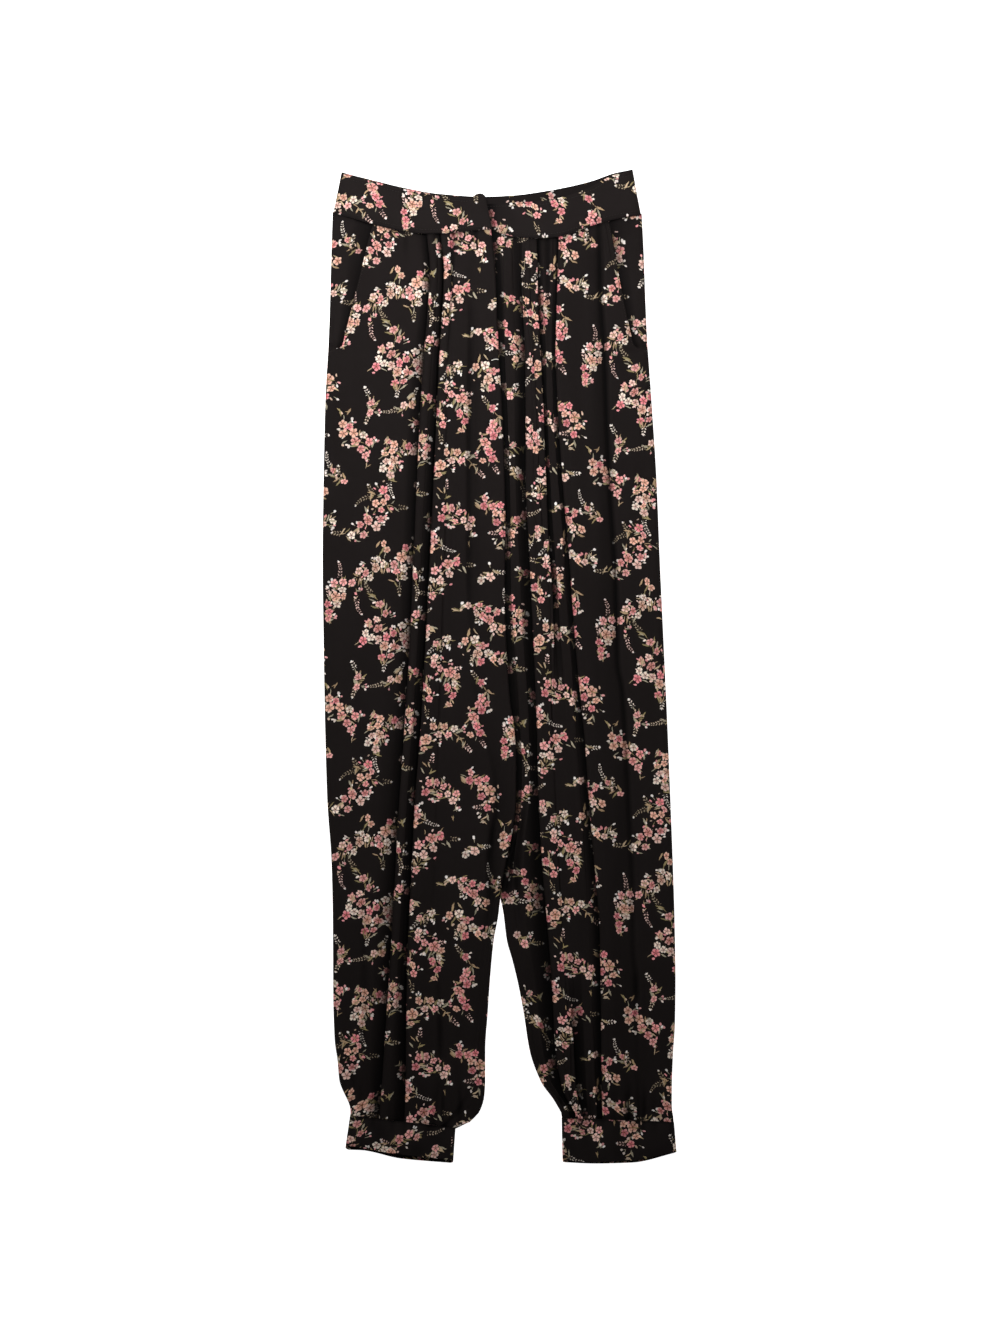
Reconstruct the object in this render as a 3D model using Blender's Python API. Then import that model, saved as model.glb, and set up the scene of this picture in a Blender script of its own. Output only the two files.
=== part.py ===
"""Wide trousers with a low crotch and gathered ankle cuffs, in thin crepe, laid flat on their back.

X runs to the wearer's left, +Y up to the waist and +Z away from the surface that the trousers lie on.
Tables and sizes are in millimetres. A place on the cloth is given by its x, from the middle of the
laid-out trousers, and by how far it lies down from the highest point of the waist. Every panel is a
wall of cloth round a mid surface. A loop makes that surface from sections across the leg, and each
section takes its edges from the outline and its pleats from the fold table.
"""
import math
from collections import namedtuple

import bpy
from mathutils import Vector

MM = 0.001
LENGTH = 1074.5  # highest point of the waist to the lowest point of a cuff

CLOTH = 1.2  # wall of a panel
BAND = 1.6  # wall of the waistband and the cuffs, which are doubled
SEAM_GAP = 0.3  # between pieces that are sewn together
TOP_GAP = 0.4  # between a panel's end and the band or cuff that it is gathered into

LOW = 2.6  # mid surface of the lowest layer of a pleat
LAYER = 1.0  # half the rise from one layer of a pleat to the next
TOP_LAYER = 0.85  # the same where the waistband presses the pleats flat
REST = LOW + 2 * LAYER  # mid surface of a front where nothing is folded
ROLL = 5.2  # mid surface just inside a side fold
BAND_FRONT = 5.9  # mid surface of the waistband's front
BAND_UNDER = 3.5  # the same where the left band runs under the right one
HIP_UNDER = 3.0  # mid surface of a hip piece below the pocket mouth

PRESSED_TO = 120.0  # down from the waist to where the pleats stand at full height
WAIST_ROW = 66.0  # the first section, which follows the waistband's seam
WAIST_FADE = 160.0  # sections are level from here on
CUFF_FADE = 985.0  # sections turn from here on towards the cuff's seam
CUFF_ROW = 1031.0  # the last section, which follows the cuff's seam
FLY_END = 206.5  # the fly's bar tack
FLY_LAP = 10.0  # how far the left front runs under the right one along the fly
SEAM_LAP = 3.0  # and below it, at the centre seam
LAP_END = 750.0  # the centre seam's lap has run out here
CROTCH = 786.0
MOUTH_END = 198.0  # lower end of the pocket mouths
MOUTH_CORNER = 191.0  # where a front turns from the mouth out to the side seam
HIP_LAP = 7.0  # how far a hip piece runs under the front

CREPE_COLOUR = (0.0145, 0.0125, 0.0125, 1.0)
BAND_COLOUR = (0.018, 0.0155, 0.0155, 1.0)
CREPE_ROUGHNESS = 0.78

Place = namedtuple("Place", "down x")
Line = namedtuple("Line", "x down")
Fold = namedtuple("Fold", "down x open")
Pleat = namedtuple("Pleat", "high lap path")  # high: the side, -1 or 1, whose cloth laps over
Crease = namedtuple("Crease", "depth step path")  # step: how much higher its left side is
Leg = namedtuple("Leg", "side outer inseam mouth seam cuff folds")


def rows(kind, *values):
    """A table with named columns."""
    return [kind(*value) for value in values]


# The outline, seen from above.
OUTER_RIGHT = rows(
    Place, (47.5, -180), (98.5, -182), (184.5, -185), (249.5, -188.5), (336, -190.5),
    (422.5, -191.5), (508.5, -190.5), (595, -189), (681.5, -186.5), (746.5, -182),
    (811, -180.5), (897.5, -180), (940.5, -178.5), (962.5, -175.5), (984, -173.5),
    (997, -169.5), (1013, -164), (1023, -161.5))
OUTER_LEFT = rows(
    Place, (49.5, 153), (98.5, 156), (184.5, 160), (249.5, 164.5), (336, 170),
    (422.5, 173.5), (508.5, 177.5), (595, 181.5), (681.5, 185), (746.5, 187.5),
    (811, 189.5), (876, 190.5), (919, 190), (962.5, 187.5), (997, 186.5),
    (1013, 186.5), (1028, 188.5))
CENTRE = rows(
    Place, (61.5, -8), (107, -3), (154.5, -1), (206.5, 1.5), (282, 5.5), (379, 8),
    (465.5, 7.5), (530.5, 10), (573.5, 13), (606, 18), (649, 20), (687, 19.5),
    (719.5, 15), (748.5, 9), (773.5, 4), (786, 1))
INSEAM_RIGHT = rows(
    Place, (786, 1), (805.5, -1.5), (832.5, -6), (870.5, -9.5), (913.5, -12.5),
    (951.5, -15), (984, -15), (1000, -16), (1014, -20.5), (1021.5, -27.5),
    (1028, -36), (1031, -47.5))
INSEAM_LEFT = rows(
    Place, (786, 1), (805.5, 5), (832.5, 8), (854.5, 13.5), (881.5, 20), (913.5, 26),
    (951.5, 32), (984, 43.5), (1005.5, 56.5), (1027, 67))
MOUTH_RIGHT = rows(
    Place, (61.5, -135.5), (82, -141), (107, -147.5), (130.5, -154), (154.5, -160.5),
    (179.5, -167), (MOUTH_CORNER, -170), (MOUTH_END, -186))
MOUTH_LEFT = rows(
    Place, (61.5, 117), (82, 121.5), (107, 126), (130.5, 131), (154.5, 136.5),
    (179.5, 142), (MOUTH_CORNER, 145.5), (MOUTH_END, 162))

# The seams under the waistband, its top edges and the edges of the cuffs.
SEAM_RIGHT = rows(
    Line, (-180, 47.5), (-167, 51), (-134.5, 60.5), (-107.5, 66.5), (-80.5, 70),
    (-58, 69.5), (-32, 67), (-8, 65))
SEAM_LEFT = rows(
    Line, (-23, 62.5), (-9, 64.6), (-3, 68), (18, 73.5), (40.5, 75), (62, 73.5), (87, 66),
    (108.5, 58.5), (130, 53.5), (153, 49.5))
BAND_TOP_BACK = rows(
    Line, (-171, 3), (-161.5, 5.5), (-135.5, 12), (-100, 20.5), (-64.5, 26.5),
    (-15.5, 29.5), (16.5, 28), (43.5, 24.5), (76, 18.5), (100, 12.5), (124.5, 4), (144, 0))
BAND_TOP_RIGHT = rows(
    Line, (-171, 5.5), (-161.5, 7.5), (-135.5, 14), (-100, 22.5), (-64.5, 28.5),
    (-32, 31.5), (-15.5, 31.5))
BAND_TOP_LEFT = rows(
    Line, (-24.5, 39), (-5, 37.5), (31, 36), (51.5, 34), (81.5, 26.5), (97.5, 20),
    (112, 12), (124.5, 6.5), (144, 2))
SEAM_BACK = rows(
    Line, (-180, 47.5), (-134.5, 58), (-80, 64), (-8, 66), (60, 64.5), (110, 58), (153, 49.5))
CUFF_TOP_RIGHT = rows(Line, (-161.5, 1022), (-47.5, 1035.5))
CUFF_TOP_LEFT = rows(Line, (67, 1025), (120.5, 1026.5), (188.5, 1029.5))
CUFF_FRONT_RIGHT = rows(Line, (-164.5, 1052.5), (-107, 1064), (-50, 1069))
CUFF_BACK_RIGHT = rows(Line, (-164.5, 1054.5), (-107, 1067.5), (-50, 1073))
CUFF_FRONT_LEFT = rows(Line, (68, 1070.5), (103, 1072), (143, 1070.5), (191.2, 1060.5))
CUFF_BACK_LEFT = rows(Line, (68, 1073), (103, 1074.5), (143, 1073.5), (191.2, 1062.5))

# The folds, in order across each front. open is 1 where a pleat laps fully, 0.5 where it is only
# a step and 0 where the cloth lies smooth.
RIGHT_FOLDS = (
    Pleat(1, 5.0, rows(
        Fold, (66, -79.5, 1), (107, -76, 1), (154.5, -78.5, 1), (206.5, -83, 1), (282, -87.5, 1),
        (400.5, -93, 1), (508.5, -97.5, 1), (595, -103, 1), (687, -109.5, 1), (786, -115, 1),
        (870.5, -120, 1), (951.5, -125.5, 1), (997, -128.5, 0.8), (1029, -131, 0.55))),
    Pleat(1, 5.0, rows(
        Fold, (66, -64.5, 1), (107, -61, 1), (206.5, -66, 1), (336, -72, 1), (465.5, -78.5, 1),
        (595, -85.5, 1), (687, -92.5, 1), (748.5, -95.5, 1), (870.5, -101, 1),
        (997, -102.5, 0.9), (1031, -104, 0.55))),
    Crease(1.7, 0.0, rows(
        Fold, (66, -49, 1), (130.5, -51, 0.9), (179.5, -53.5, 0.3), (206.5, -53.5, 0),
        (336, -53.5, 0), (465.5, -56.5, 0), (595, -61, 0), (719.5, -64.5, 0),
        (854.5, -67.5, 0.2), (930, -64.5, 0.7), (967.5, -64.5, 0.3), (1031, -72, 0.6))),
    Crease(1.4, 1.2, rows(
        Fold, (66, -28.5, 0), (130.5, -31, 0.2), (174, -31, 0.7), (249.5, -32.5, 0.9),
        (433, -33, 0.9), (508.5, -29.5, 0.3), (595, -20, 0.2), (649, -6, 0.5), (687, -3, 1),
        (719.5, -8, 1), (748.5, -11.5, 1), (786, -11, 0.9), (822, -14.5, 0.3), (870.5, -20, 0),
        (951.5, -27.5, 0.1), (997, -34, 0.3), (1031, -59, 0.6))),
)
LEFT_FOLDS = (
    Crease(1.2, -1.6, rows(
        Fold, (66, 8, 0), (465.5, 18, 0), (595, 26.5, 0), (654.5, 28.5, 0), (687, 27.5, 0.5),
        (719.5, 23, 1), (748.5, 20.5, 1), (773.5, 19, 1), (789.5, 20, 0.6), (822, 24, 0.15),
        (870.5, 32, 0), (951.5, 42, 0.2), (985, 52, 0.2), (997, 59, 0.2), (1006, 64, 0.2),
        (1020, 70.8, 0.2), (1031, 73.9, 0.2))),
    Pleat(1, 5.0, rows(
        Fold, (68, 21, 0.7), (107, 21.5, 0.8), (154.5, 24.5, 0.9), (206.5, 27, 1), (336, 27.5, 1),
        (409.5, 31, 1), (519.5, 36, 1), (591, 39, 1), (687, 41.5, 1), (748.5, 45, 1),
        (822, 51, 1), (870.5, 55, 1), (951.5, 59.5, 1), (997, 68, 0.8), (1027, 81, 0.5))),
    Pleat(-1, 5.0, rows(
        Fold, (68, 41.5, 1), (141.5, 42.5, 1), (195.5, 45, 1), (249.5, 48, 1), (342.5, 51.5, 0.9),
        (409.5, 54.5, 0.75), (465.5, 59, 0.5), (530.5, 62, 0.25), (595, 65.5, 0),
        (681.5, 69.5, 0), (768, 74, 0), (832.5, 77, 0), (908.5, 80, 0.3), (962.5, 82, 0.6),
        (997, 84, 0.7), (1028, 91.5, 0.5))),
    Crease(1.7, 0.0, rows(
        Fold, (68, 52.5, 1), (109, 52.5, 1), (146, 52.5, 0.7), (179.5, 53, 0.2), (249.5, 54.5, 0),
        (342.5, 59.5, 0), (465.5, 68.5, 0), (595, 77, 0), (768, 88, 0), (897.5, 94.5, 0),
        (1028, 100.5, 0.3))),
    Pleat(1, 5.0, rows(
        Fold, (68, 63, 1), (141.5, 61, 0.8), (195.5, 59.5, 0.9), (249.5, 61.5, 1), (342.5, 67.5, 1),
        (409.5, 73.5, 1), (519.5, 81.5, 1), (618, 91, 1), (687, 96, 1), (748.5, 101, 1),
        (822, 107, 1), (897.5, 108.5, 1), (962.5, 109, 1), (1028, 110, 0.6))),
    Crease(1.6, -1.0, rows(
        Fold, (60.5, 107.5, 0.35), (100, 108.5, 0.8), (141.5, 109.5, 1), (195.5, 113, 1),
        (289.5, 116.5, 1), (357.5, 120, 1), (449.5, 125.5, 1), (535.5, 127.5, 0.8), (564, 132.5, 0.8),
        (649, 137.5, 0.7), (700, 140, 0.7), (768, 143, 0.6), (843.5, 144, 0.4),
        (881.5, 147.5, 0.6), (919, 147.5, 0.4), (962.5, 148.5, 0.2), (1029, 150.5, 0.6))),
)

FRONT_ROWS = (
    66, 84, 108, 135, 162, MOUTH_CORNER, MOUTH_END, 235, 280, 335, 395, 455, 515, 575, 630, 675,
    706, 730, LAP_END, 768, CROTCH, 808, 840, 880, 920, 955, 985, 1006, 1020, CUFF_ROW)
BACK_ROWS = (
    66, 110, 180, 280, 400, 520, 640, 720, 760, CROTCH, 808, 840, 880, 920, 955, 985, 1006,
    1020, CUFF_ROW)
HIP_ROWS = (66, 95, 128, 160, 183, 192)

FOLD_SPREAD = 7.0  # half the width of cloth that a pleat takes when it lies smooth
FOLD_SHARE = 0.7  # and the most of the way to the next fold
CREASE_SPREAD = 4.5  # half the width of a crease
CREASE_REACH = 2.0  # how far a neighbour has to stay from a crease's line
PLEAT_REACH = 2.4  # and from a pleat's line, beyond its lap
PLEAT_FOOT = 1.5  # where the low cloth leaves a pleat
PLEAT_SHOULDER = 2.0  # where the high cloth leaves it
PLEAT_BULGE = 0.8  # roundness of a pleat's two turns, in layers
PLEAT_SLACK = 0.35  # how much its middle layer leans, in layers
CROWN = 0.3  # how much smooth cloth rises between two folds
WIDEST_BEND = 1.3  # most that a wall widens in a bend

# The edges, from the outermost point inwards: how far in it lies, and its height.
POCKET_EDGE = ((0.0, 5.0), (1.5, 5.2), (5.0, 5.1))
ROLLED_EDGE = ((0.75, 2.9), (0.95, 4.3), (4.2, ROLL))
FLY_EDGE = ((0.75, 3.6), (1.0, 4.6), (4.2, 5.1))
BACK_EDGE = ((0.75, 2.35), (0.9, 1.35), (4.6, CLOTH / 2))
BACK_SEAM = ((SEAM_GAP / 2, CLOTH / 2), (2.2, CLOTH / 2), (5.0, CLOTH / 2))
HIP_EDGE = ((0.75, 2.9), (0.85, 3.5), (4.0, 3.7))
BACK_PARTS = 10  # columns of the flat of a back
BAND_PARTS = 18  # columns of the waistband's back
FRONT_PARTS = 12  # and of each of its fronts
CUFF_TOP = 6.2  # mid surface of a cuff's upper side


def smooth(low, high, value):
    """0 at low, 1 at high and an S curve between."""
    part = min(max((value - low) / (high - low), 0.0), 1.0)
    return part * part * (3 - 2 * part)


def slopes(keys, values):
    """Slopes of a smooth curve through a table's rows that never overshoots them."""
    steps = [(b - a) / (d - c) for a, b, c, d in zip(values, values[1:], keys, keys[1:])]
    inner = [
        2 * before * after / (before + after) if before * after > 0 else 0.0
        for before, after in zip(steps, steps[1:])]
    return [steps[0], *inner, steps[-1]]


def read(table, key, column=1):
    """The value of a table's column at key, on a smooth curve, and held past both ends."""
    keys, values = [row[0] for row in table], [row[column] for row in table]
    key = min(max(key, keys[0]), keys[-1])
    tangents = slopes(keys, values)
    index = max(i for i in range(len(keys) - 1) if keys[i] <= key)
    width = keys[index + 1] - keys[index]
    part = (key - keys[index]) / width
    start, end = values[index], values[index + 1]
    return (
        start * (2 * part**3 - 3 * part**2 + 1)
        + end * (3 * part**2 - 2 * part**3)
        + tangents[index] * width * (part**3 - 2 * part**2 + part)
        + tangents[index + 1] * width * (part**3 - part**2))


def blend(one, other, part):
    """Points of one section moved towards another's."""
    return [(a + (c - a) * part, b + (d - b) * part) for (a, b), (c, d) in zip(one, other)]


def layer_at(down):
    """Half the rise between two layers, which the waistband presses flatter."""
    return TOP_LAYER + (LAYER - TOP_LAYER) * smooth(WAIST_ROW, PRESSED_TO, down)


def pleat_points(pleat, down, x, spread):
    """Eight points across a pleat: low cloth, its turn under, the turn back and the high cloth."""
    opened = read(pleat.path, down, 2)
    layer = layer_at(down)
    width = pleat.lap * max(2 * opened - 1, 0.0)
    bulge = min(PLEAT_BULGE * layer, width / 2)
    slack = PLEAT_SLACK * layer * (1 - width / pleat.lap)
    lapped = [
        (-PLEAT_FOOT - bulge, 0.1), (width, 0.0), (width + bulge, layer),
        (width, 2 * layer - slack), (0.0, 2 * layer + slack), (-bulge, 3 * layer),
        (0.0, 4 * layer), (width + PLEAT_SHOULDER, 4 * layer - 0.1)]
    lapped = [(t, LOW + z) for t, z in lapped]
    flat = [(spread * (2 * i / 7 - 1), REST) for i in range(8)]
    points = blend(flat, lapped, min(2 * opened, 1.0))
    if pleat.high < 0:
        points = [(-t, z) for t, z in reversed(points)]
    return [(x + t, z) for t, z in points]


def crease_points(crease, down, x, spread):
    """Three points across a soft crease: its shoulders and its bottom."""
    opened = read(crease.path, down, 2)
    left = REST + crease.step * opened / 2
    right = REST - crease.step * opened / 2
    return [(x - spread, left), (x, min(left, right) - crease.depth * opened), (x + spread, right)]


def reach(fold, side):
    """How far a fold's own points go to one side of its line."""
    if isinstance(fold, Crease):
        return CREASE_REACH
    return fold.lap + PLEAT_REACH if fold.high == side else PLEAT_REACH


def fold_points(folds, down, left, right):
    """The points of all folds across a front, each kept clear of its neighbours."""
    places = [read(fold.path, down) for fold in folds]
    found = []
    for index, (fold, x) in enumerate(zip(folds, places)):
        before = x - (places[index - 1] + reach(folds[index - 1], 1) if index else left)
        last = index == len(folds) - 1
        after = (right if last else places[index + 1] - reach(folds[index + 1], -1)) - x
        room = FOLD_SHARE * min(before, after)
        if isinstance(fold, Pleat):
            found.append(pleat_points(fold, down, x, min(FOLD_SPREAD, room)))
        else:
            found.append(crease_points(fold, down, x, min(CREASE_SPREAD, room)))
    return found


def between(one, other):
    """A point of smooth cloth halfway between two folds."""
    return ((one[0] + other[0]) / 2, (one[1] + other[1]) / 2 + CROWN)


def outer_edge(leg, down):
    """Three points in from a front's outer edge: its pocket mouth, or the fold down to the side seam."""
    start = read(leg.outer, down)
    if down < MOUTH_END:
        start = read(leg.mouth, down)
    points = blend(POCKET_EDGE, ROLLED_EDGE, smooth(MOUTH_CORNER, MOUTH_END, down))
    return [(start - leg.side * t, z) for t, z in points]


def inner_edge(leg, down):
    """Three points in from a front's inner edge: the centre front, or the fold down to the inseam."""
    start = read(CENTRE if down <= CROTCH else leg.inseam, down)
    if leg.side < 0:
        points = blend(FLY_EDGE, ROLLED_EDGE, smooth(LAP_END, CROTCH, down))
    else:
        lap = FLY_LAP + (SEAM_LAP - FLY_LAP) * smooth(FLY_END - 5, FLY_END + 25, down)
        lap = lap + (-0.9 - lap) * smooth(LAP_END - 40, LAP_END, down)
        under = [(-lap, LOW), (1.2, LOW + 0.1), (3.9, LOW + 0.5)]
        points = blend(under, ROLLED_EDGE, smooth(LAP_END, CROTCH, down))
    return [(start + leg.side * t, z) for t, z in points]


def front_section(leg, down):
    """The mid line across one front, from its right edge to its left one."""
    outer, inner = outer_edge(leg, down), inner_edge(leg, down)
    if leg.side < 0:
        inner = inner[::-1]
        pleat_a, pleat_b, tuck, crease = fold_points(leg.folds, down, outer[-1][0], inner[0][0])
        return [
            *outer, between(outer[-1], pleat_a[0]), *pleat_a, *pleat_b, *tuck,
            between(tuck[-1], crease[0]), *crease, between(crease[-1], inner[0]), *inner]
    outer = outer[::-1]
    step, pleat_e, pleat_f, tuck, pleat_g, crease = fold_points(
        leg.folds, down, inner[-1][0], outer[0][0])
    return [
        *inner, *step, *pleat_e, *pleat_f, *tuck, *pleat_g,
        between(pleat_g[-1], crease[0]), *crease, between(crease[-1], outer[0]), *outer]


def back_section(leg, down):
    """The mid line across one back, flat on the surface with its edges turned up at the seams."""
    start, end = read(leg.outer, down), read(CENTRE if down <= CROTCH else leg.inseam, down)
    outer = [(start - leg.side * t, z) for t, z in BACK_EDGE]
    turn = blend(BACK_SEAM, BACK_EDGE, smooth(CROTCH - 8, CROTCH, down))
    inner = [(end + leg.side * t, z) for t, z in turn]
    middle = [
        (outer[2][0] + (inner[2][0] - outer[2][0]) * part / BACK_PARTS, CLOTH / 2)
        for part in range(1, BACK_PARTS)]
    points = outer + middle + inner[::-1]
    return points if leg.side < 0 else points[::-1]


def hip_section(leg, down):
    """The mid line across one hip piece, from the side seam to below the pocket mouth."""
    start, mouth = read(leg.outer, down), read(leg.mouth, min(down, MOUTH_CORNER))
    points = [(start - leg.side * t, z) for t, z in HIP_EDGE]
    edge = mouth + leg.side * 2.5
    middle = ((points[-1][0] + edge) / 2, HIP_UNDER + 0.4)
    points += [middle, (edge, HIP_UNDER), (mouth - leg.side * HIP_LAP, HIP_UNDER)]
    return points if leg.side < 0 else points[::-1]


def level(leg, down, x):
    """Where a section really runs at x: near the waistband and the cuff it follows their seams."""
    at_waist = 1 - smooth(WAIST_ROW, WAIST_FADE, down)
    at_cuff = smooth(CUFF_FADE, CUFF_ROW, down)
    waist = read(leg.seam, x) + TOP_GAP - WAIST_ROW
    cuff = read(leg.cuff, x) - TOP_GAP - CUFF_ROW
    return down + at_waist * waist + at_cuff * cuff


def panel(leg, stations, section):
    """A grid of places on a panel's mid surface: one row for each station down the leg."""
    return [
        [(x, level(leg, down, x), z) for x, z in section(leg, down)]
        for down in stations]


def band_grid(top, bottom, lefts, rights, heights, down_rows=4):
    """A grid for a band between two edges, whose columns run from its top edge to its bottom one."""
    grid = []
    for row in range(down_rows):
        part = row / (down_rows - 1)
        start = lefts[0] + (lefts[1] - lefts[0]) * part
        end = rights[0] + (rights[1] - rights[0]) * part
        places = []
        for share, offset, z in heights:
            x = start + (end - start) * share + offset
            down = read(top, x) + (read(bottom, x) - read(top, x)) * part
            places.append((x, down, z))
        grid.append(places)
    return grid


def cuff_grid(top, front, back, down_rows=4, side_points=5, flat_points=7):
    """A grid round a flattened cuff: a ring of columns, each from the leg's seam to the hem."""
    low, high = BAND / 2, CUFF_TOP
    radius, middle = (high - low) / 2, (high + low) / 2
    ring = []
    for side in (1, -1):
        for index in range(side_points):
            angle = side * (math.pi / 2 - math.pi * index / (side_points - 1))
            ring.append((side, radius * math.cos(angle), middle + radius * math.sin(angle)))
        if side > 0:
            ring += [(part, 0.0, low) for part in flat_parts(flat_points)]
        else:
            ring += [(-part, 0.0, high) for part in flat_parts(flat_points)]
    grid = []
    for row in range(down_rows):
        part = row / (down_rows - 1)
        left = top[0].x + (front[0].x - top[0].x) * part
        right = top[-1].x + (front[-1].x - top[-1].x) * part
        half = (right - left) / 2 - radius - BAND / 2
        centre = (left + right) / 2
        places = []
        for across, bulge, z in ring:
            x = centre + half * across + math.copysign(bulge, across) * (abs(across) == 1)
            share = (z - low) / (high - low)
            hem = read(back, x) + (read(front, x) - read(back, x)) * share
            start = read(top, x)
            places.append((x, start + (hem - start) * part, z))
        grid.append(places)
    return grid


def flat_parts(count):
    """Shares from near 1 to near -1 along a cuff's flat side."""
    return [1 - 2 * (index + 1) / (count + 1) for index in range(count)]


def placed(grid):
    """A grid's places as points in metres."""
    return [
        [Vector((x * MM, (LENGTH / 2 - down) * MM, z * MM)) for x, down, z in places]
        for places in grid]


def turned_along(points, index, ring):
    """The direction of a row or column at a point, and how much a wall widens in its bend."""
    before = points[index - 1] if index > 0 or ring else None
    after = points[(index + 1) % len(points)] if index < len(points) - 1 or ring else None
    steps = []
    if before is not None:
        steps.append((points[index] - before).normalized())
    if after is not None:
        steps.append((after - points[index]).normalized())
    total = sum(steps, Vector())
    widening = min(len(steps) / max(total.length, 0.5), WIDEST_BEND)
    return total.normalized(), widening


def wall(name, grid, thickness, material, ring=False):
    """One closed solid: a wall of cloth on both sides of a grid's mid surface."""
    points = placed(grid)
    across, along = len(points[0]), len(points)
    outer, inner = [], []
    for row in range(along):
        for column in range(across):
            over, widening = turned_along(points[row], column, ring)
            down, _ = turned_along([line[column] for line in points], row, False)
            normal = down.cross(over)
            if row in (0, along - 1):
                normal.y = 0.0  # cut square at the seams
            offset = normal.normalized() * (thickness / 2 * MM * widening)
            for points_of, place in ((outer, points[row][column] + offset),
                                     (inner, points[row][column] - offset)):
                place.z = max(place.z, 0.0)  # none goes below the surface that it lies on
                points_of.append(place)
    total = across * along
    faces = []
    columns = across if ring else across - 1
    for row in range(along - 1):
        for column in range(columns):
            a, b = row * across + column, row * across + (column + 1) % across
            c, d = b + across, a + across
            faces.append((a, d, c, b))
            faces.append((a + total, b + total, c + total, d + total))
    last = (along - 1) * across
    for column in range(columns):
        a, b = column, (column + 1) % across
        faces.append((a, b, b + total, a + total))
        faces.append((last + b, last + a, last + a + total, last + b + total))
    if not ring:
        for row in range(along - 1):
            a, b = row * across, (row + 1) * across
            faces.append((b, a, a + total, b + total))
            a, b = a + across - 1, b + across - 1
            faces.append((a, b, b + total, a + total))
    mesh = bpy.data.meshes.new(name)
    mesh.from_pydata(outer + inner, [], faces)
    mesh.shade_smooth()
    mesh.set_sharp_from_angle(angle=math.radians(50))
    mesh.materials.append(material)
    piece = bpy.data.objects.new(name, mesh)
    bpy.context.collection.objects.link(piece)
    return piece


def cloth_material(name, colour):
    """A plain dark crepe."""
    material = bpy.data.materials.new(name)
    material.use_nodes = True
    shader = material.node_tree.nodes["Principled BSDF"]
    shader.inputs["Base Color"].default_value = colour
    shader.inputs["Roughness"].default_value = CREPE_ROUGHNESS
    shader.inputs["Metallic"].default_value = 0.0
    return material


def side_roll(first, second, third):
    """Heights of a band at its side: two turned up at the seam and one where it lies level."""
    return [(0.8, first), (1.15, second), (4.8, third)]


def waistband(material):
    """The waistband's back and its two fronts, the right one over the left one."""
    flat = BAND / 2
    turned = side_roll(2.4, 1.5, flat)
    heights = [(0.0, t, z) for t, z in turned]
    heights += [(part / BAND_PARTS, 0.0, flat) for part in range(1, BAND_PARTS)]
    heights += [(1.0, -t, z) for t, z in reversed(turned)]
    wall("waistband_back", band_grid(
        BAND_TOP_BACK, SEAM_BACK, (-171, -180), (144, 153), heights), BAND, material)

    rolled = side_roll(3.1, 4.7, BAND_FRONT)
    level_front = [(0.0, t, z) for t, z in rolled]
    heights = level_front + [
        (part / FRONT_PARTS, 0.0, BAND_FRONT + 0.2) for part in range(1, FRONT_PARTS)]
    heights += [(1.0, -2.5, BAND_FRONT), (1.0, 0.0, BAND_FRONT - 0.1)]
    wall("waistband_right", band_grid(
        BAND_TOP_RIGHT, SEAM_RIGHT, (-171, -180), (-15.5, -8), heights), BAND, material)

    heights = [(0.0, 0.0, BAND_UNDER), (0.0, 14.0, BAND_UNDER), (0.0, 22.0, BAND_UNDER + 0.6)]
    heights += [(part / FRONT_PARTS, 0.0, BAND_FRONT - 0.2) for part in range(3, FRONT_PARTS)]
    heights += [(1.0, -t, z) for t, z in reversed(rolled)]
    wall("waistband_left", band_grid(
        BAND_TOP_LEFT, SEAM_LEFT, (-24.5, -23), (144, 153), heights), BAND, material)


def build():
    """All pieces, in the order in which they would be sewn."""
    for old in list(bpy.data.objects):
        bpy.data.objects.remove(old, do_unlink=True)
    crepe = cloth_material("crepe", CREPE_COLOUR)
    doubled = cloth_material("crepe_doubled", BAND_COLOUR)
    right = Leg(-1, OUTER_RIGHT, INSEAM_RIGHT, MOUTH_RIGHT, SEAM_RIGHT, CUFF_TOP_RIGHT, RIGHT_FOLDS)
    left = Leg(1, OUTER_LEFT, INSEAM_LEFT, MOUTH_LEFT, SEAM_LEFT, CUFF_TOP_LEFT, LEFT_FOLDS)
    for word, leg in (("right", right), ("left", left)):
        back = leg._replace(seam=SEAM_BACK)
        wall(f"back_{word}", panel(back, BACK_ROWS, back_section), CLOTH, crepe)
        wall(f"hip_{word}", panel(leg, HIP_ROWS, hip_section), CLOTH, crepe)
        wall(f"front_{word}", panel(leg, FRONT_ROWS, front_section), CLOTH, crepe)
    waistband(doubled)
    wall("cuff_right", cuff_grid(
        CUFF_TOP_RIGHT, CUFF_FRONT_RIGHT, CUFF_BACK_RIGHT), BAND, doubled, ring=True)
    wall("cuff_left", cuff_grid(
        CUFF_TOP_LEFT, CUFF_FRONT_LEFT, CUFF_BACK_LEFT), BAND, doubled, ring=True)


build()
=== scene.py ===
"""Wide printed trousers with a low crotch and gathered ankle cuffs, laid flat in soft studio light.

Each piece of cloth is a thin closed shell on the form of its solid. Its surface comes from
sections across the leg, with the pleats and creases in them; the dark bands of the folds are
painted shade in the cloth's colour. The print is drawn once as marks (blossoms, buds, leaves and
stems) on flat cloth, and every small face of a shell carries the few marks that cross it, so that
the folds cut and squeeze the print as they do on real cloth.
"""
import logging
import math
import random
from dataclasses import dataclass, field
from enum import Enum
from typing import Callable, Iterable, NamedTuple, Sequence

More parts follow.
